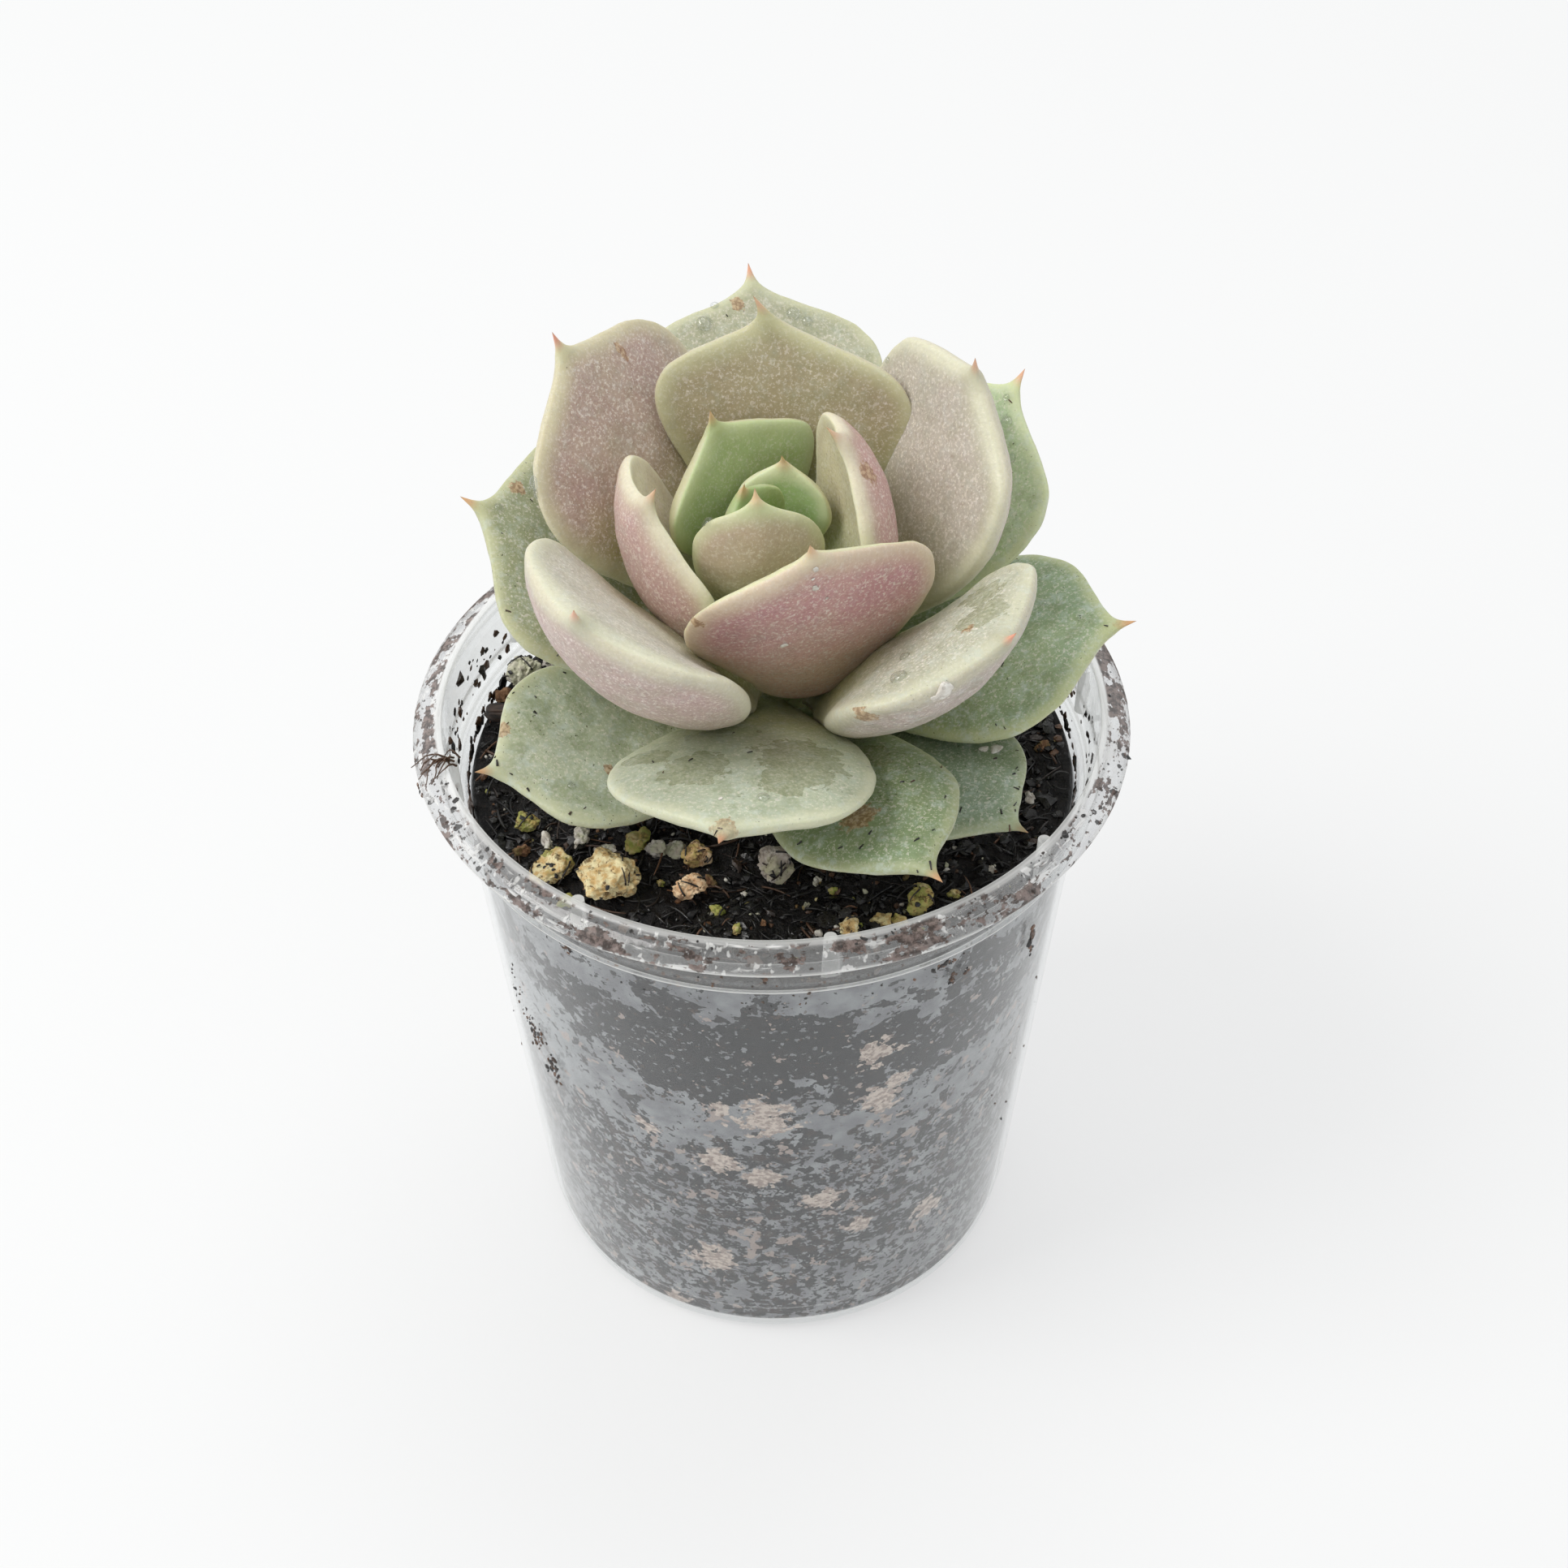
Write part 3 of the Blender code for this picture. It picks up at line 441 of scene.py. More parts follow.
# Scars and wet patches: leaf, kind, face, mm along the midrib, mm across it,
# half-length along, half-width across
MARKS = [
    ("leaf_outer_2", "wet", 1, 14.5, 4.5, 3.6, 3.4), ("leaf_outer_2", "wet", 1, 18.0, 3.6, 1.6, 2.2), ("leaf_outer_2", "wet", 1, 16.5, -3.4, 2.6, 2.8),
    ("leaf_outer_2", "wet", 1, 13.6, -7.4, 1.6, 1.8), ("leaf_outer_2", "scar", 1, 24.9, 0.0, 1.3, 1.0), ("leaf_outer_2", "scar", -1, 25.2, 0.0, 1.2, 0.9),
    ("leaf_outer_3", "scar", 1, 18.0, -1.5, 1.0, 1.5), ("leaf_outer_3", "wet", 1, 12.0, 3.0, 1.6, 1.2),
    ("leaf_middle_5", "scar", 1, 21.4, 0.6, 0.4, 0.6), ("leaf_middle_5", "wet", 1, 21.0, 2.4, 1.6, 2.6), ("leaf_middle_5", "scar", -1, 18.3, -9.4, 0.9, 0.9),
    ("leaf_middle_5", "wet", 1, 18.0, 6.0, 2.2, 1.6), ("leaf_inner_3", "scar", -1, 17.9, -1.7, 0.9, 0.7), ("leaf_outer_7", "scar", 1, 24.5, 1.7, 0.7, 0.6),
    ("leaf_outer_1", "scar", 1, 22.0, -3.4, 0.6, 0.7), ("leaf_outer_1", "scar", 1, 15.0, 3.0, 0.5, 0.6), ("leaf_inner_1", "scar", -1, 15.6, -9.2, 0.5, 0.5),
    ("leaf_middle_1", "scar", 1, 20.9, -4.7, 0.8, 0.35), ("leaf_outer_5", "scar", 1, 25.2, 0.0, 0.9, 0.6), ("leaf_outer_8", "scar", 1, 22.4, -3.2, 0.7, 0.6),
]


def leaf_place(leaf):
    a = math.radians(leaf.azimuth)
    at = Vector((leaf.dx + leaf.base_r * math.cos(a), leaf.dy + leaf.base_r * math.sin(a), leaf.base_z))
    turn = Matrix.Rotation(a, 3, "Z")
    world = ROSETTE.to_3x3()
    origin = Vector(ROSETTE_AT)
    return lambda p: origin + world @ (at + turn @ p)


def leaf_points(leaf):
    """Fine rings of the leaf's skin in mm, from the foot to the tip, with what
    the material needs to know at each point."""
    s = 0.5 - 0.5 * np.cos(np.pi * (np.arange(ALONG) + 0.5) / ALONG)
    s = 0.45 * s + 0.55 * (np.arange(ALONG) + 0.5) / ALONG
    stations = -leaf.foot + (leaf.length + leaf.foot) * s
    turns = 2 * math.pi * np.arange(AROUND) / AROUND
    place = leaf_place(leaf)
    widths = np.array([leaf.half_width(x) for x in stations])
    outline = np.array([[x, w] for x, w in zip(stations, widths)] + [[leaf.length, 0.0]])
    points, data = [], {key: [] for key in ("edge", "run", "side", "tip", "across")}
    for x, half in zip(stations, widths):
        for t in turns:
            points.append(leaf.point(float(x), float(t)))
            u, w = math.cos(t), math.sin(t)
            y = abs(u) * half
            d = np.hypot(outline[:, 0] - x, outline[:, 1] - y).min()
            data["edge"].append(min(d, max(half - y, 0.0) + 0.02))
            data["run"].append(min(max(x / leaf.length, 0.0), 1.0))
            data["side"].append(w)
            data["tip"].append(math.hypot(leaf.length - x, u * half))
            data["across"].append(u * half)
    base = leaf.midrib(float(stations[0]) - 0.05)
    tip = leaf.midrib(leaf.length - 0.02) + leaf.axes(leaf.length)[2] * leaf.skew
    for p, x in ((base, stations[0]), (tip, leaf.length)):
        points.append(p)
        for key, value in (("edge", 3.0 if x < 0 else 0.0), ("run", min(max(x / leaf.length, 0.0), 1.0)), ("side", 0.0), ("tip", leaf.length - x), ("across", 0.0)):
            data[key].append(value)
    return [place(p) for p in points], data


def leaf_material(name, seed):
    kind = name.split("_")[1]
    look = dict(LOOKS[kind], **OWN.get(name, {}))
    t = Tree("skin_" + name[5:])
    shift = (0.013 * seed, 0.007 * seed, 0.0)
    edge, run, side = t.attribute("edge"), t.attribute("run"), t.attribute("side")
    tip, wet, mark = t.attribute("tip"), t.attribute("wet"), t.attribute("mark")
    broad = t.noise(180, 3, 0.55, shift=shift)
    patchy = t.noise(700, 4, 0.6, shift=shift)
    fine = t.noise(3200, 2, 0.6, shift=shift)
    grain = t.noise(7000, 1, 0.5, shift=shift)

    upper = t.span(side, -0.12, 0.12)
    foot = t.span(t.math("ADD", run, t.math("MULTIPLY_ADD", broad, 0.3, -0.15)), 0.12, 0.62)
    above = t.mix(foot, look["up_foot"], look["up"])
    below = t.mix(foot, look["down_foot"], look["down"])
    colour = t.mix(upper, below, above)
    # slow drift of hue over the blade
    colour = t.mix(t.span(broad, 0.35, 0.7, 0.0, 0.22), colour, look["edge"])
    # the margins are paler; on their very crest a painted highlight is added
    wide = look["rim"]
    wander = t.math("ADD", edge, t.math("MULTIPLY_ADD", patchy, 0.7, -0.35))
    margin = t.span(wander, 0.15, wide, 1.0, 0.0)
    colour = t.mix(t.math("MULTIPLY", margin, 0.62), colour, look["edge"])
    # painted highlight: a pale cream line along the crest of the margin
    crest_highlight = t.math("MULTIPLY", t.span(wander, 0.0, 1.1, 1.0, 0.0), t.span(run, 0.15, 0.5))
    colour = t.mix(t.math("MULTIPLY", crest_highlight, look.get("crest_highlight", 0.12)), colour, (228, 228, 200))
    # a network of fine pale dots of wax between darker flesh, thinner at the margin
    inside = t.math("SUBTRACT", 1.0, t.math("MULTIPLY", margin, 0.7))
    dots = t.math("MULTIPLY", t.span(fine, 0.53, 0.66), inside)
    colour = t.mix(t.math("MULTIPLY", dots, 0.62 * look["speck"]), colour, look.get("dot", (232, 224, 214)))
    dots = t.math("MULTIPLY", t.span(t.noise(5200, 1, 0.5, shift=shift), 0.60, 0.70), inside)
    colour = t.mix(t.math("MULTIPLY", dots, 0.6 * look["speck"]), colour, (244, 238, 228))
    darker = t.math("MULTIPLY", t.span(fine, 0.46, 0.30), inside)
    colour = t.mix(t.math("MULTIPLY", darker, 0.34 * look["speck"]), colour, look.get("deep", (98, 112, 78) if kind in ("outer", "low") else (140, 108, 96)))
    # bloom, rubbed off in patches
    bloom = t.math("MULTIPLY", t.span(patchy, 0.42, 0.66), t.span(t.noise(1500, 3, 0.7, shift=shift), 0.38, 0.62))
    colour = t.mix(t.math("MULTIPLY", bloom, 0.5 * look["frost"]), colour, (198, 210, 204))
    clear = t.math("MULTIPLY", t.span(t.noise(420, 4, 0.65, shift=(0.5, 0.02 * seed, 0.3)), 0.50, 0.60), t.math("SUBTRACT", 1.0, margin))
    colour = t.mix(t.math("MULTIPLY", clear, 0.38 * look["frost"]), colour, look.get("rubbed", (118, 132, 92)))
    # small dark and brown dirt
    if look["dirt"] > 0.01:
        spots = t.math("MULTIPLY", t.span(t.noise(2100, 3, 0.65, shift=(0.3, 0.1 * seed, 0.0)), 0.66, 0.70), t.span(t.noise(240, 2, 0.5, shift=(0.7, 0.2, 0.01 * seed)), 0.42, 0.62))
        colour = t.mix(t.math("MULTIPLY", spots, min(1.0, 1.8 * look["dirt"])), colour, (74, 76, 46))
        flecks = t.math("MULTIPLY", t.span(t.noise(3900, 2, 0.6, shift=(0.9, 0.1 * seed, 0.4)), 0.68, 0.72), t.span(t.noise(330, 2, 0.5, shift=(0.2, 0.8, 0.01 * seed)), 0.40, 0.60))
        colour = t.mix(t.math("MULTIPLY", flecks, min(1.0, 2.2 * look["dirt"])), colour, (48, 44, 34))
    # wet patches are darker, scars are brown
    soaked = t.span(t.math("ADD", wet, t.math("MULTIPLY_ADD", t.noise(620, 4, 0.65, shift=shift, distort=0.4), 1.5, -0.75)), 0.44, 0.50)
    colour = t.mix(t.math("MULTIPLY", soaked, 0.42), colour, t.mix(t.span(fine, 0.4, 0.6), (112, 118, 78), (142, 144, 108)))
    ragged = t.math("ADD", mark, t.math("MULTIPLY_ADD", t.noise(1900, 3, 0.65, shift=shift), 1.6, -0.8))
    scar = t.span(ragged, 0.40, 0.56)
    colour = t.mix(t.math("MULTIPLY", scar, 0.72), colour, t.mix(t.span(fine, 0.4, 0.6), (138, 98, 64), (188, 158, 122)))
    # the spine
    colour = t.mix(t.span(tip, 1.4, 3.6, 0.6, 0.0), colour, look["edge"])
    colour = t.mix(t.span(tip, 0.4, 1.9, 0.85, 0.0), colour, look["spine"])
    colour = t.mix(t.span(tip, 0.1, 0.45, 0.6, 0.0), colour, (150, 92, 66))
    colour = t.mix(1.0, colour, (GAIN, GAIN, GAIN, 1.0), mode="MULTIPLY")

    rough = t.math("ADD", t.span(patchy, 0.3, 0.7, 0.40, 0.56), t.math("MULTIPLY", soaked, -0.30))
    height = t.math("ADD", t.math("MULTIPLY", fine, 0.5), t.math("ADD", t.math("MULTIPLY", grain, 0.25), t.math("MULTIPLY", patchy, 1.2)))
    shader = t.principled(
        Base_Color=colour, Roughness=rough, Specular_IOR_Level=0.42,
        Subsurface_Weight=0.22, Subsurface_Scale=0.0011, Subsurface_Radius=(1.0, 0.85, 0.4),
        Normal=t.bump(height, 0.35, 0.00012),
    )
    return t.done(shader)


def spread_marks(name, data, length):
    """Marks and wet patches on this leaf as two values at each point."""
    wet, mark = np.zeros(len(data["run"])), np.zeros(len(data["run"]))
    x, y, w = np.array(data["run"]) * length, np.array(data["across"]), np.array(data["side"])
    for leaf, kind, face, at, across, long_, wide in MARKS:
        if leaf != name:
            continue
        d = np.sqrt(((x - at) / long_) ** 2 + ((y - across) / wide) ** 2)
        strength = np.clip(1.25 - 0.75 * d, 0.0, 1.0) * (w * face > -0.1)
        if kind == "wet":
            wet = np.maximum(wet, strength)
        else:
            mark = np.maximum(mark, strength)
    return wet, mark


LEAF_OBJECTS = {}


def make_leaves():
    for seed, (name, row) in enumerate(LEAVES.items()):
        leaf = Leaf(row, name)
        points, data = leaf_points(leaf)
        pts = np.array([p[:] for p in points])
        n = ALONG * AROUND
        faces = []
        for j in range(ALONG - 1):
            for k in range(AROUND):
                a, b = j * AROUND + k, j * AROUND + (k + 1) % AROUND
                faces.append((a, b, b + AROUND, a + AROUND))
        for k in range(AROUND):
            b = (k + 1) % AROUND
            faces.append((n, b, k))
            faces.append((n + 1, (ALONG - 1) * AROUND + k, (ALONG - 1) * AROUND + b))
        data["wet"], data["mark"] = spread_marks(name, data, leaf.length)
        obj = mesh_object(name + "_skin", pts, faces, data)
        normals = np.empty(len(pts) * 3)
        obj.data.vertices.foreach_get("normal", normals)
        normals = normals.reshape(-1, 3)
        # real leaves aren't quite smooth: slow swells over the blade
        swell = np.array([noise.noise(Vector(p) * 0.24 + Vector((3.7 * seed, 0, 0))) + 0.4 * noise.noise(Vector(p) * 0.7) for p in pts])
        run = np.array(data["run"])
        amount = 0.16 * step(run, 0.02, 0.2) * step(np.array(data["tip"]), 0.8, 4.0)
        pts = pts + normals * (swell * amount)[:, None]
        obj.data.vertices.foreach_set("co", (pts * MM).ravel())
        obj.data.update()
        piece(obj, leaf_material(name, seed), [name])
        LEAF_OBJECTS[name] = (obj, leaf, pts, normals)


def on_leaf(name, x, turn):
    """A point of a leaf's skin and the way out of it, in mm."""
    obj, leaf, pts, normals = LEAF_OBJECTS[name]
    s = (x + leaf.foot) / (leaf.length + leaf.foot)
    grid = 0.5 - 0.5 * np.cos(np.pi * (np.arange(ALONG) + 0.5) / ALONG)
    grid = 0.45 * grid + 0.55 * (np.arange(ALONG) + 0.5) / ALONG
    j = int(np.abs(grid - s).argmin())
    k = int(round((turn % 360.0) / 360.0 * AROUND)) % AROUND
    return Vector(pts[j * AROUND + k]), Vector(normals[j * AROUND + k])


# ---------------------------------------------------------------- pot
def wall_radius(z):
    return BASE_R + (WALL_TOP_R - BASE_R) * z / WALL_TOP_Z


def inner_radius(z):
    """Inside of the wall as it looks: the thin sheet of a real nursery pot."""
    return wall_radius(z) - 0.4


def filleted(points, radius, steps=4):
    """The polyline with its corners rounded."""
    pts = [np.array(p, float) for p in points]
    out = [pts[0]]
    for a, p, b in zip(pts, pts[1:], pts[2:]):
        ta = min(radius / max(np.linalg.norm(a - p), 1e-6), 0.45)
        tb = min(radius / max(np.linalg.norm(b - p), 1e-6), 0.45)
        p0, p2 = p + (a - p) * ta, p + (b - p) * tb
        for k in range(steps + 1):
            t = k / steps
            out.append((1 - t) ** 2 * p0 + 2 * t * (1 - t) * p + t * t * p2)
    out.append(pts[-1])
    return out


def pot_profile():
    inside = [
        (0.0, FLOOR),
        (inner_radius(FLOOR) - 0.8, FLOOR),
        (inner_radius(1.6), 1.6),
        (inner_radius(26.0), 26.0),
        (inner_radius(WALL_TOP_Z - 0.4), WALL_TOP_Z - 0.4),
        (inner_radius(WALL_TOP_Z) + 0.3, WALL_TOP_Z + 0.2),
        (BAND_BOTTOM_R - WALL, BAND_BOTTOM_Z + 0.4),
        (BAND_TOP_R - WALL, RIM_UNDER_Z),
        (RIM_INNER_R - 0.05, POT_HEIGHT - 0.25),
        (RIM_INNER_R, POT_HEIGHT),
    ]
    rim = [
        (RIM_INNER_R + 0.45, POT_HEIGHT),
        (RIM_INNER_R + 0.6, POT_HEIGHT - 0.12),
        (RIM_INNER_R + 1.3, POT_HEIGHT - 0.35),
        (RIM_INNER_R + 1.95, POT_HEIGHT - 0.8),
        (RIM_OUTER_R - 0.15, POT_HEIGHT - 1.25),
        (RIM_OUTER_R, POT_HEIGHT - 1.5),
        (RIM_OUTER_R - 0.3, RIM_UNDER_Z),
        (BAND_TOP_R + 0.15, RIM_UNDER_Z),
    ]
    outside = [
        (BAND_TOP_R - 0.02, RIM_UNDER_Z - 0.25),
        (BAND_BOTTOM_R, BAND_BOTTOM_Z),
        (BAND_BOTTOM_R - 0.35, BAND_BOTTOM_Z - 0.3),
        (WALL_TOP_R + 0.25, WALL_TOP_Z + 0.1),
        (WALL_TOP_R, WALL_TOP_Z - 0.3),
        (wall_radius(26.0), 26.0),
        (wall_radius(4.3), 4.3),
        (wall_radius(4.0) - 0.2, 4.0),
        (BASE_R - 0.05, 2.0),
        (BASE_R - 0.25, 1.7),
        (BASE_R - 0.3, 0.8),
        (BASE_R - 0.7, 0.2),
        (BASE_R - 1.3, 0.0),
        (0.0, 0.0),
    ]
    return close_ends(filleted(inside + rim + outside, 0.22))


def close_ends(points):
    """The polyline with points added next to the ends of its long stretches."""
    out = [points[0]]
    for a, b in zip(points, points[1:]):
        length = float(np.linalg.norm(b - a))
        if length > 1.0:
            out += [a + (b - a) * d / length for d in (0.18, 0.4, length - 0.4, length - 0.18)]
        out.append(b)
    return out


def revolved(name, profile, steps):
    """Closed solid of revolution in mm; the profile starts and ends on the axis."""
    points, faces = [], []
    inner = profile[1:-1]
    for r, z in inner:
        for k in range(steps):
            a = 2 * math.pi * k / steps
            points.append((r * math.cos(a), r * math.sin(a), z))
    first, last = len(points), len(points) + 1
    points += [(0, 0, profile[0][1]), (0, 0, profile[-1][1])]
    for j in range(len(inner) - 1):
        for k in range(steps):
            a, b = j * steps + k, j * steps + (k + 1) % steps
            faces.append((a, a + steps, b + steps, b))
    for k in range(steps):
        b = (k + 1) % steps
        faces.append((first, k, b))
        faces.append((last, (len(inner) - 1) * steps + b, (len(inner) - 1) * steps + k))
    return mesh_object(name, points, faces)


def cut_with(obj, tools, operation):
    """Boolean with a mesh of cones given as (position, radii, depth, turn) in mm."""
    made = bmesh.new()
    for at, r1, r2, depth, turn, segments in tools:
        bmesh.ops.create_cone(
            made, cap_ends=True, segments=segments, radius1=r1 * MM, radius2=r2 * MM, depth=depth * MM,
            matrix=Matrix.Translation(Vector(at) * MM) @ Matrix.Rotation(turn, 4, "Z"),
        )
    mesh = bpy.data.meshes.new("tool")
    made.to_mesh(mesh)
    made.free()
    tool = bpy.data.objects.new("tool", mesh)
    bpy.context.scene.collection.objects.link(tool)
    boolean = obj.modifiers.new("cut", "BOOLEAN")
    boolean.operation, boolean.solver, boolean.object = operation, "EXACT", tool
    bpy.context.view_layer.update()
    graph = bpy.context.evaluated_depsgraph_get()
    result = bpy.data.meshes.new_from_object(obj.evaluated_get(graph))
    obj.modifiers.clear()
    obj.data = result
    bpy.data.objects.remove(tool)


PAINTED_HIGHLIGHT_LINES = [                 # painted highlights: bright milky lines where the plastic bends, in place of reflections of the lamps: r, z, size, strength
    (30.0, 57.35, 0.13, 0.85), (29.75, 57.05, 0.12, 0.4), (28.15, 56.9, 0.12, 0.4),
    (27.72, 52.95, 0.13, 0.95), (26.78, 52.45, 0.12, 0.6), (26.5, 52.0, 0.1, 0.3),
    (23.9, 4.15, 0.12, 0.3), (21.95, 2.0, 0.12, 0.4),
    (27.5, 58.88, 0.2, 0.5), (27.9, 58.9, 0.22, 0.55), (28.05, 58.8, 0.12, 0.45),
]


def make_pot():
    pot = revolved("pot_shell", pot_profile(), 288)
    lugs = []
    for azimuth in LUG_AZIMUTHS:
        a = math.radians(azimuth)
        r = BAND_BOTTOM_R - WALL + 0.15
        lugs.append(((r * math.cos(a), r * math.sin(a), BAND_BOTTOM_Z + 3.1), 0.7, 0.52, 4.6, a, 20))
    cut_with(pot, lugs, "UNION")
    holes = []
    for k in range(5):
        a = 2 * math.pi * k / 5 + math.radians(18)
        holes.append(((13.5 * math.cos(a), 13.5 * math.sin(a), 0.0), 2.2, 2.2, 6.0, 0.0, 32))
    cut_with(pot, holes, "DIFFERENCE")
    mesh = pot.data
    mesh.shade_smooth()
    mesh.set_sharp_from_angle(angle=math.radians(50))
    co = np.empty(len(mesh.vertices) * 3)
    mesh.vertices.foreach_get("co", co)
    co = co.reshape(-1, 3) / MM
    r, z = np.hypot(co[:, 0], co[:, 1]), co[:, 2]
    # painted highlights: milky white lines at the bends and on the lugs, where the lamps' reflections would fall
    painted_highlight = np.zeros(len(r))
    for r0, z0, size, strength in PAINTED_HIGHLIGHT_LINES:
        painted_highlight = np.maximum(painted_highlight, strength * np.exp(-((r - r0) ** 2 + (z - z0) ** 2) / (2 * size * size)))
    band = (r > 26.9) & (z > 52.9) & (z < 57.0)
    for azimuth in LUG_AZIMUTHS:      # painted highlight lines on the lugs' flanks
        a = math.radians(azimuth)
        lug_r = BAND_BOTTOM_R - WALL + 0.15
        d = np.hypot(co[:, 0] - lug_r * math.cos(a), co[:, 1] - lug_r * math.sin(a))
        painted_highlight = np.where((d < 0.73) & (z > 53.6) & (z < 58.5) & (r < 27.3), 0.55, painted_highlight)
    rim = step(r, 27.9, 28.15) * step(z, 57.0, 57.5)
    for key, values in (("painted_highlight", painted_highlight), ("rim", rim), ("band", band.astype(float))):
        made = mesh.attributes.new(key, "FLOAT", "POINT")
        made.data.foreach_set("value", values.astype(np.float32))

    t = Tree("clear_plastic_look")
    painted_highlight_a, rim_a, band_a = t.attribute("painted_highlight"), t.attribute("rim"), t.attribute("band")
    facing = t.node("ShaderNodeLayerWeight")
    facing.inputs["Blend"].default_value = 0.5
    grazing = t.math("POWER", facing.outputs["Facing"], 5.0)
    reflect = t.math("MULTIPLY_ADD", grazing, 0.85, 0.035)
    clear = t.node("ShaderNodeBsdfTransparent")
    t.feed(clear.inputs["Color"], t.mix(t.math("MULTIPLY", rim_a, t.span(t.noise(500, 3, 0.6, at=t.around(0.012)), 0.3, 0.7, 0.5, 1.0)), (252, 253, 253), (222, 222, 224)))
    gloss = t.node("ShaderNodeBsdfGlossy")
    gloss.inputs["Color"].default_value = (1.0, 1.0, 1.0, 1.0)
    gloss.inputs["Roughness"].default_value = 0.09
    gloss_n = t.bump(t.noise(420, 2, 0.5), 0.25, 0.0002)
    t.links.new(gloss_n, gloss.inputs["Normal"])
    pane = t.blend(reflect, clear.outputs[0], gloss.outputs[0])
    milk_s = t.node("ShaderNodeBsdfDiffuse")
    milk_s.inputs["Color"].default_value = (0.93, 0.93, 0.92, 1.0)
    milk_t = t.node("ShaderNodeBsdfTranslucent")
    milk_t.inputs["Color"].default_value = (0.93, 0.93, 0.92, 1.0)
    milk = t.blend(0.35, milk_s.outputs[0], milk_t.outputs[0])
    dusty = t.span(t.noise(900, 4, 0.7), 0.5, 0.75, 0.0, 0.04)
    # a little dust everywhere and a milky band and rim, plus the painted highlight lines
    milk_and_painted_highlights = t.math("ADD", t.math("ADD", 0.02, dusty), t.math("ADD", painted_highlight_a, t.math("ADD", t.math("MULTIPLY", band_a, 0.07), t.math("MULTIPLY", rim_a, 0.10))), clamp=True)
    # painted highlights: white glints of the rolled rim, drawn out across it and round it
    glints = t.span(t.noise(620, 2, 0.6, at=t.around(0.055)), 0.58, 0.66, 0.0, 0.5)
    streak = t.span(t.noise(900, 3, 0.65, at=t.around(0.007)), 0.55, 0.66, 0.0, 0.6)
    milk_and_painted_highlights = t.math("ADD", milk_and_painted_highlights, t.math("MULTIPLY", t.math("MAXIMUM", glints, streak), rim_a), clamp=True)
    plastic = t.blend(milk_and_painted_highlights, pane, milk)
    # peat caught under the lip of the rim
    spread = t.span(t.noise(75, 2, 0.5, shift=(0.1, 0.6, 0.0)), 0.35, 0.65, -0.035, 0.035)
    flecks = t.math("ADD", t.math("ADD", t.math("MULTIPLY", t.noise(560, 4, 0.68, at=t.around(0.017), shift=(0.4, 0.2, 0.1)), 0.72), t.math("MULTIPLY", t.noise(1700, 3, 0.6), 0.28)), spread)
    flecks = t.span(flecks, 0.498, 0.518)
    dirt = t.node("ShaderNodeBsdfDiffuse")
    t.feed(dirt.inputs["Color"], t.mix(t.span(t.noise(1500, 4, 0.7), 0.4, 0.62), (60, 49, 44), (130, 114, 108)))
    veil = t.math("MULTIPLY", t.math("MULTIPLY", flecks, rim_a), 0.82)
    plastic = t.blend(veil, plastic, dirt.outputs[0])
    piece(pot, t.done(plastic), ["pot"])
    return pot


# ---------------------------------------------------------------- soil
# Pale grains seen through the wall: x, y, z, radius
CHUNKS = [
    (-0.9, -24.3, 33.7, 2.4), (8.8, -22.8, 34.4, 1.7), (8.3, -23.6, 41.1, 1.7), (4.0, -22.9, 21.1, 1.5), (-1.3, -23.5, 24.6, 1.4), (-5.1, -23.2, 26.8, 1.8), (-4.9, -23.9, 34.7, 1.0),
    (13.2, -18.4, 14.0, 1.3), (-6.0, -21.5, 10.7, 1.9), (7.1, -21.7, 16.0, 1.0), (-9.4, -19.4, 1.9, 1.5), (-11.1, -21.2, 29.5, 1.0), (10.0, -22.4, 36.4, 1.2), (14.2, -17.6, 13.6, 0.9),
]


def soil_level(x, y):
    """Height of the soil's rough surface, mm."""
    n = noise.noise(Vector((x * 0.22, y * 0.22, 3.1)))
    z = SOIL_Z + SOIL_ROUGH * max(-1.0, min(0.8, 2.2 * n - 0.2))
    z += 0.35 * noise.noise(Vector((x * 0.8, y * 0.8, 9.0))) + 0.22 * abs(noise.noise(Vector((x * 2.1, y * 2.1, 5.0))))
    return z


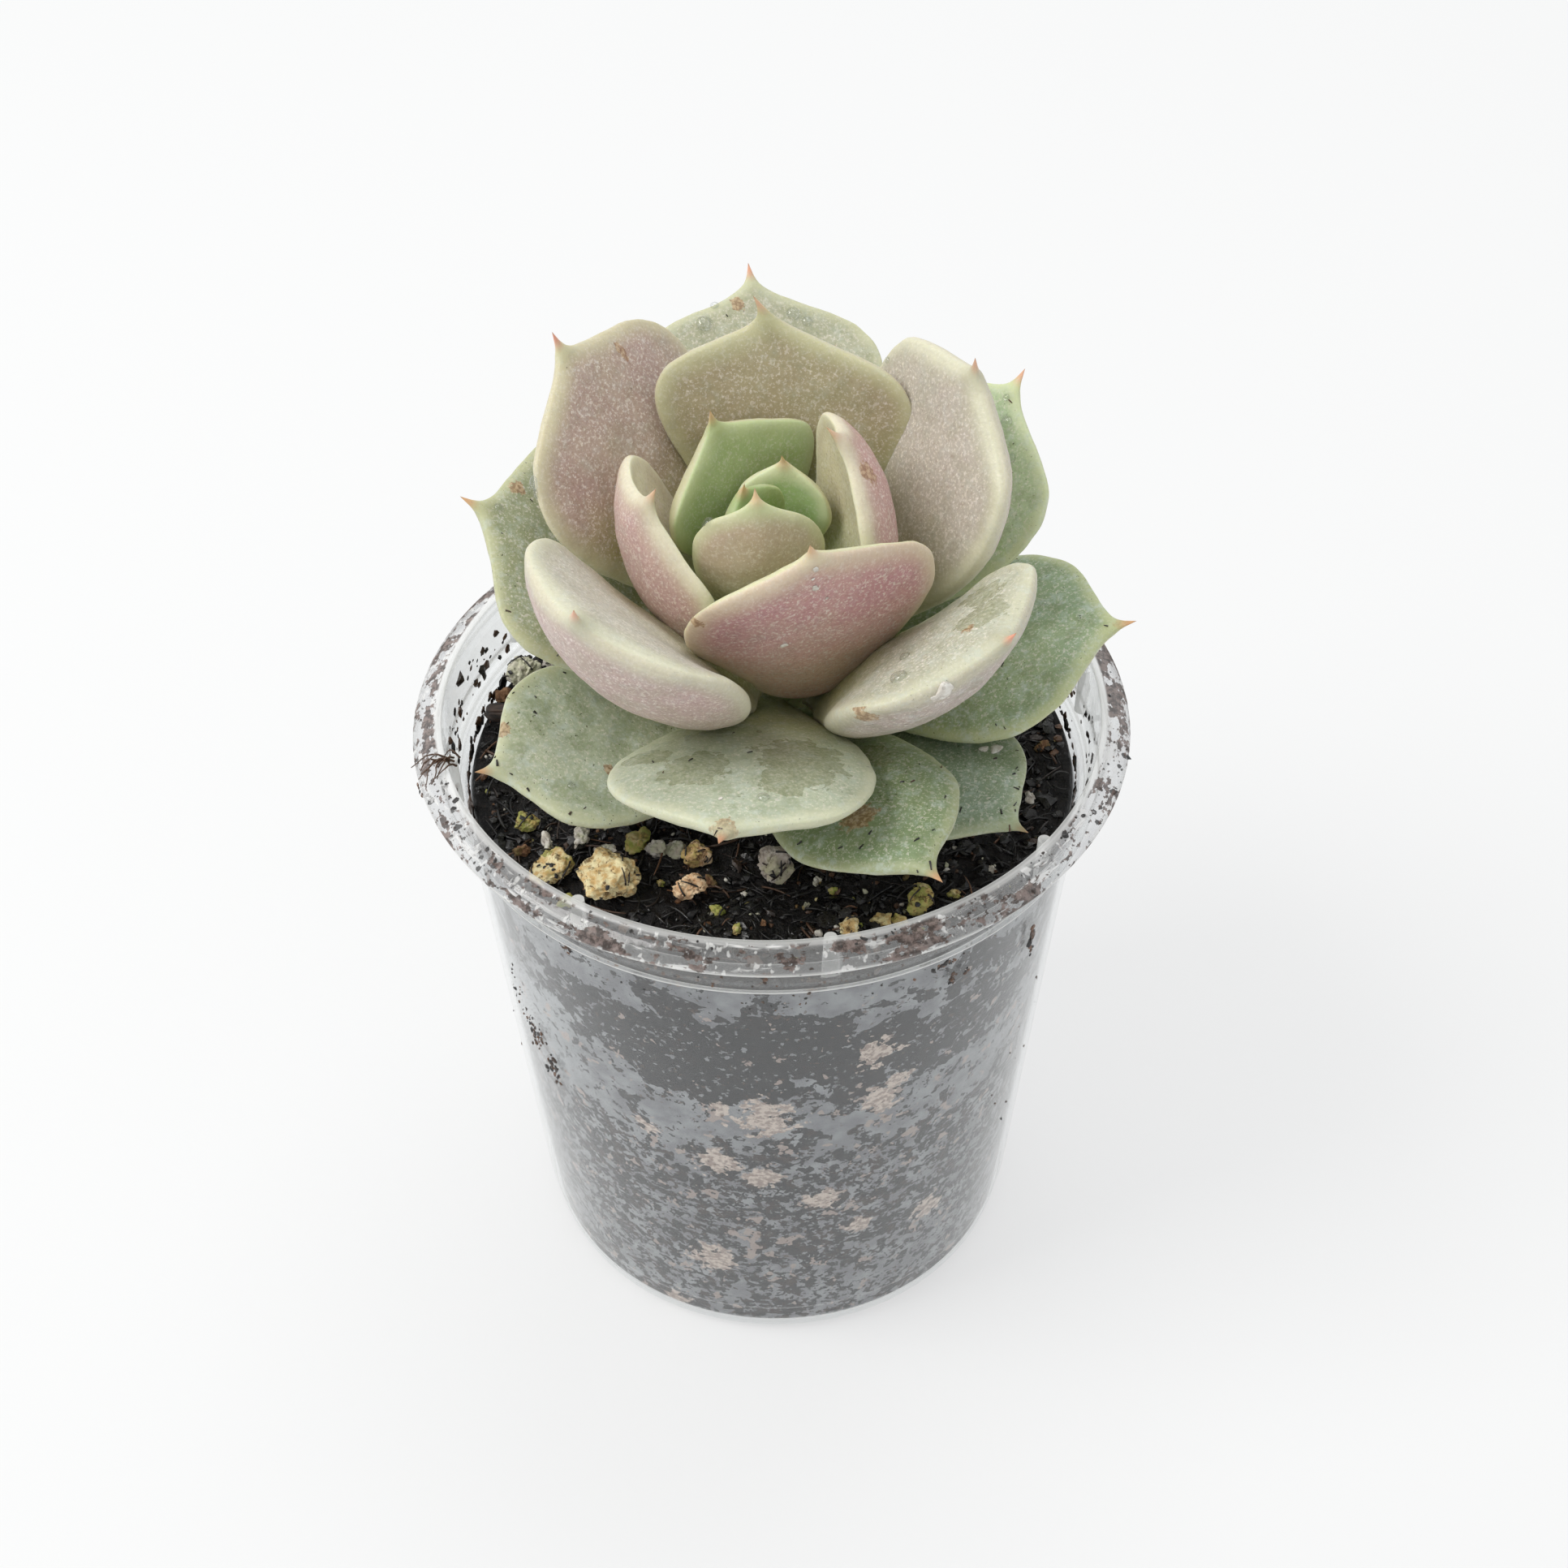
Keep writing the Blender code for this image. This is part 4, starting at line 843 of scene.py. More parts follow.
def make_soil():
    steps = 320
    radii = list(np.arange(0.5, 25.01, 0.36)) + [25.3]
    rings = [(r, None) for r in radii]
    side = [(25.55, 51.5), (25.62, 51.0), (inner_radius(50.5) - 0.15, 50.5)]
    side += [(inner_radius(z) - 0.15, z) for z in (40, 30, 20, 10, 2.2, 1.6)]
    side += [(inner_radius(1.1) - 1.5, 1.1), (8.0, 1.1)]
    profile = rings + side
    points, faces = [], []
    axis = ROSETTE.to_3x3() @ Vector((0, 0, 1))
    foot = Vector(ROSETTE_AT) + axis * (-(ROSETTE_AT[2] - SOIL_Z) / axis.z)
    for r, z in profile:
        for k in range(steps):
            a = 2 * math.pi * k / steps
            x, y = r * math.cos(a), r * math.sin(a)
            h = z
            if h is None:
                h = soil_level(x, y)
                if r > 24.6:
                    h = h * 0.4 + 51.8 * 0.6
                h -= 5.0 * (1 - float(step(math.hypot(x - foot.x, y - foot.y), 3.3, 4.3)))
            points.append((x, y, h))
    top = len(points)
    points.append((0, 0, soil_level(0, 0) - 5.0))
    bottom = len(points)
    points.append((0, 0, 1.1))
    for j in range(len(profile) - 1):
        for k in range(steps):
            a, b = j * steps + k, j * steps + (k + 1) % steps
            faces.append((a, a + steps, b + steps, b))
    for k in range(steps):
        b = (k + 1) % steps
        faces.append((top, k, b))
        faces.append((bottom, (len(profile) - 1) * steps + b, (len(profile) - 1) * steps + k))
    soil = mesh_object("soil_body", points, faces)

    t = Tree("peat_look")
    split = t.node("ShaderNodeSeparateXYZ")
    t.feed(split.inputs[0], t.place)
    z = t.math("MULTIPLY", split.outputs["Z"], 1000.0)
    x = t.math("MULTIPLY", split.outputs["X"], 1000.0)
    # the loose top
    peat = t.mix(t.span(t.noise(900, 4, 0.7), 0.4, 0.65), (11, 10, 11), (27, 22, 20))
    peat = t.mix(t.span(t.noise(3500, 2, 0.6), 0.64, 0.74), peat, (74, 60, 52))
    # what is pressed against the wall: wet patches, dry misted patches, grains
    at = t.stretched(1.0, 1.0, 1.2)
    wide = t.noise(85, 2, 0.5, at=at, shift=(0.31, 0.12, 0.55))
    big = t.noise(250, 4, 0.6, at=at, distort=0.5)
    middle = t.noise(480, 4, 0.62, at=at, distort=0.5)
    small = t.noise(1000, 3, 0.6, at=at, distort=0.3)
    tiny = t.noise(2100, 2, 0.6, at=at)
    level = t.math("ADD", z, t.math("ADD", t.math("MULTIPLY_ADD", wide, 15.0, -7.5), t.math("MULTIPLY_ADD", big, 17.0, -8.5)))
    side = t.math("ADD", t.math("ABSOLUTE", t.math("ADD", x, 1.0)), t.math("MULTIPLY_ADD", middle, 16.0, -8.0))
    mixed = t.math("ADD", t.math("MULTIPLY", big, 0.22), t.math("ADD", t.math("MULTIPLY", middle, 0.42), t.math("ADD", t.math("MULTIPLY", small, 0.26), t.math("MULTIPLY", tiny, 0.10))))
    lower = t.math("ADD", t.math("MULTIPLY", big, 0.10), t.math("ADD", t.math("MULTIPLY", middle, 0.28), t.math("ADD", t.math("MULTIPLY", small, 0.42), t.math("MULTIPLY", tiny, 0.20))))
    deep = t.span(level, 31.0, 26.0)
    lower = t.math("SUBTRACT", lower, 0.009)
    mixed = t.math("ADD", t.math("MULTIPLY", mixed, t.math("SUBTRACT", 1.0, deep)), t.math("MULTIPLY", lower, deep))
    collar = t.span(level, 46.9, 48.6, 0.0, 0.075)
    calm = t.math("MULTIPLY", t.span(level, 35.4, 37.4), t.span(level, 48.0, 46.0))
    calm = t.math("MULTIPLY", calm, t.span(side, 20.0, 13.5, 0.25, 1.0))
    misted = t.math("MULTIPLY", t.span(level, 36.6, 35.0), t.span(level, 29.5, 32.0))
    foot_ = t.math("MULTIPLY", t.span(level, 12.0, 8.5), t.span(level, 3.0, 6.0))
    bias = t.math("ADD", t.math("ADD", collar, t.math("MULTIPLY", foot_, 0.022)), t.math("ADD", t.math("MULTIPLY", calm, -0.105), t.math("MULTIPLY", misted, 0.060)))
    left = t.math("MULTIPLY", t.math("MULTIPLY", t.span(x, -15.0, -19.5), t.span(level, 27.0, 30.0)), t.span(level, 43.0, 39.0))
    field = t.math("ADD", t.math("ADD", mixed, bias), t.math("MULTIPLY", left, 0.11))
    light = t.span(field, 0.500, 0.507)
    islands = t.span(t.noise(1350, 3, 0.6, at=at, shift=(0.3, 0.1, 0.2)), 0.606, 0.618)
    pits = t.span(t.noise(820, 3, 0.6, at=at, shift=(0.9, 0.4, 0.2)), 0.622, 0.634)
    light = t.math("MAXIMUM", t.math("MULTIPLY", light, t.math("SUBTRACT", 1.0, pits)), t.math("MULTIPLY", islands, 0.8))
    warm = t.math("MULTIPLY", t.span(t.noise(620, 3, 0.6, shift=(0.2, 0.2, 0.8)), 0.5, 0.62), t.span(z, 38.0, 28.0, 0.25, 1.0))
    dark_colour = t.mix(warm, (33, 33, 36), (58, 45, 42))
    dark_colour = t.mix(t.span(tiny, 0.58, 0.75), dark_colour, (58, 56, 58))
    light_colour = t.mix(t.span(t.noise(350, 3, 0.6), 0.35, 0.7), (122, 122, 126), (156, 157, 160))
    light_colour = t.mix(t.math("MULTIPLY", left, 0.6), light_colour, (168, 171, 174))
    wall = t.mix(light, dark_colour, light_colour)
    specks = t.span(t.math("ADD", t.noise(560, 3, 0.6, shift=(0.11, 0.75, 0.4)), t.span(z, 46.0, 34.0, -0.05, 0.0)), 0.622, 0.637)
    wall = t.mix(t.math("MULTIPLY", specks, 0.85), wall, (176, 158, 150))
    ragged = t.math("ADD", t.math("MULTIPLY_ADD", middle, 3.0, -1.6), t.math("MULTIPLY_ADD", small, 3.2, -1.6))
    chunks = t.blobs(CHUNKS, ragged)
    wall = t.mix(t.math("MULTIPLY", chunks, 0.9), wall, t.mix(t.span(tiny, 0.40, 0.6), (166, 146, 136), (218, 202, 190)))
    brown = t.span(t.noise(1350, 3, 0.6, shift=(0.5, 0.5, 0.9)), 0.655, 0.675)
    wall = t.mix(t.math("MULTIPLY", brown, 0.7), wall, (92, 72, 62))
    colour = t.mix(t.span(z, 50.7, 51.1), wall, peat)
    rubble = t.math("MULTIPLY", t.math("ADD", t.noise(1500, 4, 0.7), t.math("MULTIPLY", t.cells(900), 0.7)), t.span(z, 50.9, 51.3, 0.12, 1.0))
    shader = t.principled(Base_Color=colour, Roughness=0.6, Specular_IOR_Level=0.4, Normal=t.bump(rubble, 0.8, 0.0007))
    piece(soil, t.done(shader), ["soil"])


# ---------------------------------------------------------------- loose bits
def rock(subdivisions, seed, rough=0.35, scale=1.5):
    """Points and faces of a broken stone about 1 across in each half-axis:
    flat breaks in random directions, with softened arrises and a few lumps."""
    made = bmesh.new()
    bmesh.ops.create_icosphere(made, subdivisions=subdivisions, radius=1.0)
    rng = random.Random(int(seed * 1000))
    breaks = []
    for _ in range(11):
        z, a = rng.uniform(-1, 1), rng.uniform(0, 2 * math.pi)
        h = math.sqrt(1 - z * z)
        breaks.append((Vector((h * math.cos(a), h * math.sin(a), z)), rng.uniform(0.55, 0.95)))
    shift = Vector((seed * 3.17, seed * 1.31, 4.1))
    for v in made.verts:
        p = v.co.copy()
        sum_ = (1 / 1.25) ** 9 + sum(max(n.dot(p) / d, 0.0) ** 9 for n, d in breaks)
        lumps = noise.noise(p * scale + shift) + 0.5 * noise.noise(p * scale * 2.7 + shift)
        v.co = p * (sum_ ** (-1 / 9) + 0.5 * rough * lumps)
    pts = [v.co[:] for v in made.verts]
    faces = [[v.index for v in f.verts] for f in made.faces]
    made.free()
    return np.array(pts), faces


class Heap:
    """Many small closed shapes gathered into one mesh."""

    def __init__(self):
        self.points, self.faces, self.tone, self.count = [], [], [], 0

    def add(self, pts, faces, tone):
        self.points.append(pts)
        self.faces += [[i + self.count for i in f] for f in faces]
        self.tone += [tone] * len(pts)
        self.count += len(pts)

    def stone(self, at, size, seed, tone, squash=1.0, subdivisions=1, rough=0.55, normal=None):
        pts, faces = rock(subdivisions, seed, rough)
        rng = random.Random(int(seed * 977))
        stretch = np.array([rng.uniform(0.7, 1.3), rng.uniform(0.7, 1.3), squash * rng.uniform(0.7, 1.1)])
        turn = np.array(Matrix.Rotation(rng.uniform(0, 6.28), 3, "Z"))
        if normal is None:
            tilt = np.array(Matrix.Rotation(rng.uniform(-0.6, 0.6), 3, "X"))
        else:
            tilt = np.array(Vector(normal).to_track_quat("Z", "Y").to_matrix())
        pts = (pts * stretch * size / 2) @ turn.T @ tilt.T + np.array(at)
        self.add(pts, faces, tone)

    def strand(self, path, r0, r1, tone, sides=6):
        """A tapered closed tube along the points."""
        path = [Vector(p) for p in path]
        rings = []
        up = Vector((0.13, 0.31, 0.94))
        for j, p in enumerate(path):
            ahead = (path[min(j + 1, len(path) - 1)] - path[max(j - 1, 0)]).normalized()
            a = ahead.cross(up)
            a = a.normalized() if a.length > 1e-4 else Vector((1, 0, 0))
            b = ahead.cross(a)
            r = r0 + (r1 - r0) * j / (len(path) - 1)
            rings.append([p + (a * math.cos(q) + b * math.sin(q)) * r for q in (2 * math.pi * k / sides for k in range(sides))])
        pts = [q[:] for ring in rings for q in ring] + [path[0][:], path[-1][:]]
        n, faces = len(rings) * sides, []
        for j in range(len(rings) - 1):
            for k in range(sides):
                a, b = j * sides + k, j * sides + (k + 1) % sides
                faces.append((a, b, b + sides, a + sides))
        for k in range(sides):
            b = (k + 1) % sides
            faces.append((n, b, k))
            faces.append((n + 1, n - sides + k, n - sides + b))
        self.add(np.array(pts), faces, tone)

    def build(self, name, material, slot, nodes=(), smooth=True):
        obj = mesh_object(name, np.concatenate(self.points), self.faces, {"tone": self.tone}, smooth)
        return piece(obj, material, nodes)


def peat_bits_material(name):
    t = Tree(name)
    tone = t.attribute("tone")
    near = t.noise(2600, 3, 0.6)
    colour = t.mix(t.span(tone, 0.0, 0.5, smooth=False), (7, 7, 8), (26, 22, 20))
    colour = t.mix(t.span(tone, 0.5, 0.8, smooth=False), colour, (118, 82, 56))
    colour = t.mix(t.span(tone, 0.8, 1.0, smooth=False), colour, (176, 138, 96))
    colour = t.mix(t.span(near, 0.55, 0.8, 0.0, 0.3), colour, (70, 56, 46))
    return t.done(t.principled(Base_Color=colour, Roughness=t.span(near, 0.3, 0.7, 0.22, 0.62), Specular_IOR_Level=0.7, Normal=t.bump(t.noise(5000, 2, 0.6), 0.5, 0.0001)))


def stone_material(name, light, warm, green, dark, pits=0.6):
    t = Tree(name)
    tone = t.attribute("tone")
    broad, small, tiny = t.noise(420, 3, 0.6), t.noise(1500, 4, 0.65), t.noise(4200, 2, 0.6)
    colour = t.mix(t.span(small, 0.38, 0.62), warm, light)
    moss = t.span(t.math("ADD", broad, t.math("MULTIPLY_ADD", tone, 0.3, -0.15)), 0.46, 0.55)
    colour = t.mix(t.math("MULTIPLY", moss, t.span(small, 0.35, 0.6, 0.35, 0.9)), colour, green)
    # painted shade: the hollows of the cells take the dark colour, as do dark specks at random
    holes = t.span(t.cells(1500, feature="F1"), 0.30, 0.10)
    specks = t.span(t.noise(1300, 4, 0.72, shift=(0.2, 0.9, 0.1)), 0.54, 0.62)
    colour = t.mix(t.math("MULTIPLY", t.math("MAXIMUM", t.math("MULTIPLY", holes, 0.6), specks), pits), colour, dark)
    height = t.math("ADD", small, t.math("ADD", t.math("MULTIPLY", tiny, 0.4), t.math("MULTIPLY", holes, -0.8)))
    return t.done(t.principled(Base_Color=colour, Roughness=0.82, Specular_IOR_Level=0.35, Normal=t.bump(height, 0.6, 0.00014)))


GRAIN_POINTS = {}


def make_grains(pumice, perlite, white_pumice, rosy):
    """The CAD's grains with their pits and lumps."""
    for number, (name, row) in enumerate(GRAINS.items()):
        x, y, sx, sy, sz = row
        turn = np.array(Matrix.Rotation(1.9 * number, 3, "Z"))
        shift = Vector((7.3 * number, 1.7, 4.1))
        pts, faces = rock(6 if max(sx, sy) > 3 else 5, 3.7 * number + 2.2, 0.5, 1.7)
        for i, q in enumerate(pts):
            p = Vector(q)
            pit = max(0.0, 0.28 - noise.voronoi(p * 2.6 + shift)[0][0])
            fine = 0.035 * noise.noise(p * 6.0 + shift) + 0.02 * noise.noise(p * 14.0 + shift)
            pts[i] = q * (1.0 - 0.45 * pit + fine)
        reach = np.abs(pts).max(axis=0)
        pts = (pts / reach @ turn.T) * np.array([sx, sy, sz]) / 2 * 1.06
        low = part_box(name)[0].z / MM
        pts += np.array([x, y, low - 0.55 - pts[:, 2].min()])
        GRAIN_POINTS[name] = pts
        obj = mesh_object(name + "_rock", pts, faces, {"tone": [(number * 0.37) % 1.0] * len(pts)})
        look = perlite if name.startswith("perlite") else pumice
        if name in ("pumice_5",):
            look = white_pumice
        if name in ("pumice_4", "pumice_3"):
            look = rosy
        piece(obj, look, [name])


def wall_point(azimuth, z, out=0.0):
    """A point on the pot's outside and the way out of it."""
    if z > RIM_UNDER_Z:
        r = RIM_OUTER_R
    elif z > BAND_BOTTOM_Z:
        r = BAND_BOTTOM_R + (BAND_TOP_R - BAND_BOTTOM_R) * (z - BAND_BOTTOM_Z) / (RIM_UNDER_Z - BAND_BOTTOM_Z)
    else:
        r = wall_radius(min(z, WALL_TOP_Z))
    a = math.radians(azimuth)
    return (math.cos(a) * (r + out), math.sin(a) * (r + out), z), (math.cos(a), math.sin(a), 0.06)


# Small stones among the peat: x, y, size, kind (0 white, 1 yellow-green, 2 brown)
PEBBLES = [
    (-18.5, -10.6, 1.5, 0), (-20.6, -11.2, 1.0, 2), (-11.0, -10.6, 1.9, 1), (-9.6, -11.6, 1.4, 0), (-7.9, -11.2, 1.6, 0),
    (-13.4, -11.3, 1.3, 0), (-15.8, -9.8, 1.5, 0), (-9.2, -14.6, 1.0, 1), (-4.5, -17.9, 1.0, 1), (-2.4, -16.0, 0.7, 0),
    (3.6, -14.6, 0.8, 0), (2.6, -17.2, 0.6, 0), (8.7, -19.4, 1.5, 1), (9.9, -19.5, 1.1, 1), (-3.0, -20.6, 0.9, 1),
    (12.0, -15.8, 1.3, 1), (14.6, -16.9, 0.8, 1), (17.8, -13.4, 0.8, 0), (21.6, -5.0, 1.0, 0), (-0.9, -19.6, 0.6, 2),
    (4.8, -16.0, 0.9, 1), (-21.6, 2.0, 1.4, 0), (-22.4, -1.6, 1.6, 0), (-21.2, 6.8, 1.9, 0), (-19.6, 12.6, 1.6, 0),
    (-23.2, 8.0, 1.5, 2), (-16.6, -17.4, 1.2, 1), (-14.8, -12.8, 0.9, 2), (-5.2, -14.6, 1.1, 2), (16.0, 18.0, 1.4, 0),
    (20.5, 12.5, 1.2, 0), (-8.0, 22.5, 1.5, 0), (-14.0, 19.5, 1.8, 1), (3.0, 23.5, 1.3, 0), (23.2, 1.0, 1.1, 2),
]

# Crumbs stuck to the outside of the pot: azimuth, z, spread in degrees and mm, count, size
WALL_DIRT = [
    (196, 56.6, 2.2, 1.0, 14, 0.55), (206.5, 50.6, 0.8, 0.8, 9, 0.8), (213, 32.6, 4.0, 2.6, 46, 0.36), (218, 29.8, 3.0, 1.4, 34, 0.44),
    (208, 36.0, 3.0, 3.4, 16, 0.26), (204, 54.0, 4.0, 1.6, 12, 0.35), (325.5, 45.5, 0.8, 1.2, 16, 0.6), (326.5, 43.0, 0.6, 1.0, 6, 0.4),
    (300.5, 50.6, 2.2, 0.4, 18, 0.45), (303, 48.4, 0.9, 0.6, 10, 0.5), (306, 48.2, 0.6, 0.4, 5, 0.4), (277, 51.9, 2.0, 0.35, 10, 0.4),
    (255, 52.6, 12.0, 0.25, 16, 0.25), (285, 52.6, 14.0, 0.25, 18, 0.25), (268, 55.2, 1.2, 0.5, 9, 0.5), (262, 54.6, 9.0, 1.6, 14, 0.25),
    (231, 50.8, 2.5, 0.8, 10, 0.4), (240, 51.5, 5.0, 0.5, 10, 0.3), (120, 50.0, 12.0, 3.0, 18, 0.4), (60, 44.0, 16.0, 6.0, 18, 0.35),
    (20, 54.0, 12.0, 2.0, 12, 0.35), (270, 50.5, 40.0, 1.0, 26, 0.22), (330, 30.0, 10.0, 12.0, 12, 0.25), (160, 30.0, 30.0, 14.0, 18, 0.3),
]


def make_litter():
    rng = random.Random(20)
    crumbs, fibres, white, yellow, brown = Heap(), Heap(), Heap(), Heap(), Heap()
    count = 3400
    for k in range(count):
        r, a = 25.0 * math.sqrt(rng.random()), rng.uniform(0, 2 * math.pi)
        x, y = r * math.cos(a), r * math.sin(a)
        size = min(0.32 + rng.expovariate(1 / 0.32), 1.9)
        tone = rng.random() ** 2.4 * 0.72
        crumbs.stone((x, y, soil_level(x, y) + 0.12 * size), size, rng.uniform(0, 60), tone, squash=0.7)
    for k in range(count // 2):
        r, a = 24.6 * math.sqrt(rng.random()), rng.uniform(0, 2 * math.pi)
        x, y = r * math.cos(a), r * math.sin(a)
        length, heading = rng.uniform(0.8, 3.2), rng.uniform(0, 2 * math.pi)
        lift, bend = rng.uniform(-0.25, 0.45), rng.uniform(-1.2, 1.2)
        path, z = [], soil_level(x, y) + rng.uniform(0.05, 0.4)
        for j in range(6):
            s = j / 5
            h = heading + bend * s
            path.append((x, y, z + lift * math.sin(math.pi * s)))
            x, y = x + math.cos(h) * length / 5, y + math.sin(h) * length / 5
        if max(math.hypot(p[0], p[1]) for p in path) > 25.2:
            continue
        thick = rng.uniform(0.05, 0.13)
        fibres.strand(path, thick, thick * rng.uniform(0.3, 0.9), rng.random() ** 2.4 * 0.75)
    for k in range(count // 12):
        r, a = 24.8 * math.sqrt(rng.random()), rng.uniform(0, 2 * math.pi)
        x, y = r * math.cos(a), r * math.sin(a)
        size = min(0.25 + rng.expovariate(1 / 0.18), 1.0)
        heap = (white, white, yellow, brown)[rng.randrange(4)]
        heap.stone((x, y, soil_level(x, y) + 0.25 * size), size, rng.uniform(0, 60), rng.random(), squash=0.8, subdivisions=2, rough=0.7)
    for k, (x, y, size, kind) in enumerate(PEBBLES):
        heap = (white, yellow, brown)[kind]
        heap.stone((x, y, soil_level(x, y) + 0.34 * size), size, 3.1 * k + 1, 0.2 + 0.6 * (k % 3) / 2, subdivisions=4, rough=0.95)
    # peat stuck to the larger grains
    for name, pts in GRAIN_POINTS.items():
        high = pts[pts[:, 2] > np.percentile(pts[:, 2], 45)]
        centre = pts.mean(axis=0)
        for k in range(12 if pts.ptp(axis=0)[0] > 3 else 6):
            q = high[rng.randrange(len(high))]
            out = Vector(q - centre).normalized()
            if k % 3:
                along = out.cross(Vector((rng.uniform(-1, 1), rng.uniform(-1, 1), rng.uniform(-1, 1)))).normalized()
                reach = along * rng.uniform(0.3, 0.95)
                base = Vector(q)
                fibres.strand([base - reach + out * -0.02, base - reach * 0.4 + out * 0.10, base + reach * 0.4 + out * 0.12, base + reach + out * 0.0], 0.09, 0.05, 0.35 + 0.2 * rng.random())
            else:
                crumbs.stone(Vector(q) + out * 0.05, rng.uniform(0.3, 0.8), rng.uniform(0, 60), 0.3 * rng.random(), squash=0.5, normal=out)
    # peat left on the inside of the wall above the soil
    for k in range(760):
        a = rng.choice((rng.uniform(150, 215), rng.uniform(0, 360), rng.uniform(-50, 60)))
        z = 51.9 + rng.random() ** 3.2 * 5.4
        r = 26.72 if z > 52.9 else 25.9
        r = min(r + 0.12 * (z - 53), 27.1) if z > 53 else r
        q = math.radians(a)
        size = 0.26 + rng.expovariate(1 / 0.34)
        size = min(size, 2.1)
        crumbs.stone((math.cos(q) * (r - 0.1), math.sin(q) * (r - 0.1), z), size, rng.uniform(0, 60), 0.38 + rng.random() * 0.3, squash=0.35, normal=(math.cos(q), math.sin(q), 0), rough=0.95)
    # crumbs stuck to the outside
    outside = Heap()
    for azimuth, z, da, dz, n, size in WALL_DIRT:
        for k in range(n):
            where, out = wall_point(rng.gauss(azimuth, da / 2), rng.gauss(z, dz / 2), 0.04)
            outside.stone(where, size * rng.uniform(0.4, 1.5), rng.uniform(0, 60), 0.4 + 0.35 * rng.random(), squash=0.45, normal=out, rough=0.9)
    # bits lying on the rim
    for k in range(230):
        a = math.radians(rng.choice((rng.uniform(0, 360), rng.uniform(280, 350), rng.uniform(190, 230))))
        q = rng.uniform(0.1, 1.9)
        r, z = RIM_INNER_R + 0.4 + q, POT_HEIGHT - 0.1 - 0.62 * max(q - 0.2, 0) ** 1.35
        outside.stone((r * math.cos(a), r * math.sin(a), z), min(0.16 + rng.expovariate(1 / 0.16), 0.8), rng.uniform(0, 60), 0.15 + 0.4 * rng.random(), squash=0.4, normal=(math.cos(a) * 0.5, math.sin(a) * 0.5, 1), rough=0.9)
    # a tuft of dried rootlets at the left
    for k in range(13):
        x, y, z = -26.4 + rng.gauss(0, 0.35), -6.6 + rng.gauss(0, 0.35), 58.6
        heading, length = rng.uniform(2.4, 4.6), rng.uniform(1.2, 3.4)
        path = []
        for j in range(8):
            path.append((x, y, z + 0.7 * math.sin(math.pi * j / 7) + 0.15 * rng.random()))
            heading += rng.uniform(-0.35, 0.35)
            x, y = x + math.cos(heading) * length / 7, y + math.sin(heading) * length / 7
        outside.strand(path, 0.10, 0.04, 0.62, sides=7)
    look = peat_bits_material("peat_bits_look")
    crumbs.build("soil_crumbs", look, "peat_mix", smooth=False)
    fibres.build("soil_fibres", look, "peat_mix")
    outside.build("stray_peat", look, "peat_mix", smooth=False)
    pale = stone_material("perlite_bits_look", (226, 222, 214), (196, 188, 176), (188, 190, 160), (88, 76, 68), 0.5)
    gold = stone_material("pumice_bits_look", (212, 200, 150), (190, 160, 104), (150, 160, 70), (74, 56, 34), 0.6)
    rust = stone_material("brown_bits_look", (150, 116, 88), (112, 80, 56), (110, 100, 60), (50, 36, 28), 0.6)
    white.build("perlite_bits", pale, "perlite")
    yellow.build("pumice_bits", gold, "pumice")
    brown.build("brown_bits", rust, "pumice")


def make_bark():
    low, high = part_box("bark_chip")
    low, high = np.array(low) / MM, np.array(high) / MM
    centre, half = (low + high) / 2, (high - low) / 2
    rings, sides = 60, 36
    points, faces = [], []
    turn = math.radians(-4.0)
    for j in range(rings):
        s = -1 + 2 * (j + 0.5) / rings
        cap = (1 - abs(s) ** 7) ** 0.4
        for k in range(sides):
            q = 2 * math.pi * k / sides
            cy = math.copysign(abs(math.cos(q)) ** 0.6, math.cos(q))
            cz = math.copysign(abs(math.sin(q)) ** 0.6, math.sin(q))
            groove = 0.16 * noise.noise(Vector((s * 1.2, 3 * math.cos(q), 3 * math.sin(q)))) + 0.10 * noise.noise(Vector((s * 3, 8 * math.cos(q), 8 * math.sin(q))))
            f = cap * (0.86 + groove)
            x = s * half[0] * (1 + 0.05 * noise.noise(Vector((0, 4 * math.cos(q), 4 * math.sin(q)))))
            y, z = cy * half[1] * 0.82 * f, cz * half[2] * f
            points.append((centre[0] + x * math.cos(turn) - y * math.sin(turn), centre[1] + x * math.sin(turn) + y * math.cos(turn), centre[2] + z))
    n = len(points)
    points += [tuple(np.mean(points[:sides], axis=0)), tuple(np.mean(points[-sides:], axis=0))]
    for j in range(rings - 1):
        for k in range(sides):
            a, b = j * sides + k, j * sides + (k + 1) % sides
            faces.append((a, b, b + sides, a + sides))
    for k in range(sides):
        b = (k + 1) % sides
        faces.append((n, b, k))
        faces.append((n + 1, n - sides + k, n - sides + b))
    obj = mesh_object("bark_piece", points, faces)
    t = Tree("bark_look")
    grainy = t.noise(900, 4, 0.7, at=t.stretched(0.25, 1.6, 1.6))
    colour = t.mix(t.span(grainy, 0.35, 0.65), (24, 18, 16), (72, 54, 44))
    piece(obj, t.done(t.principled(Base_Color=colour, Roughness=0.6, Normal=t.bump(grainy, 0.7, 0.0003))), ["bark_chip"])


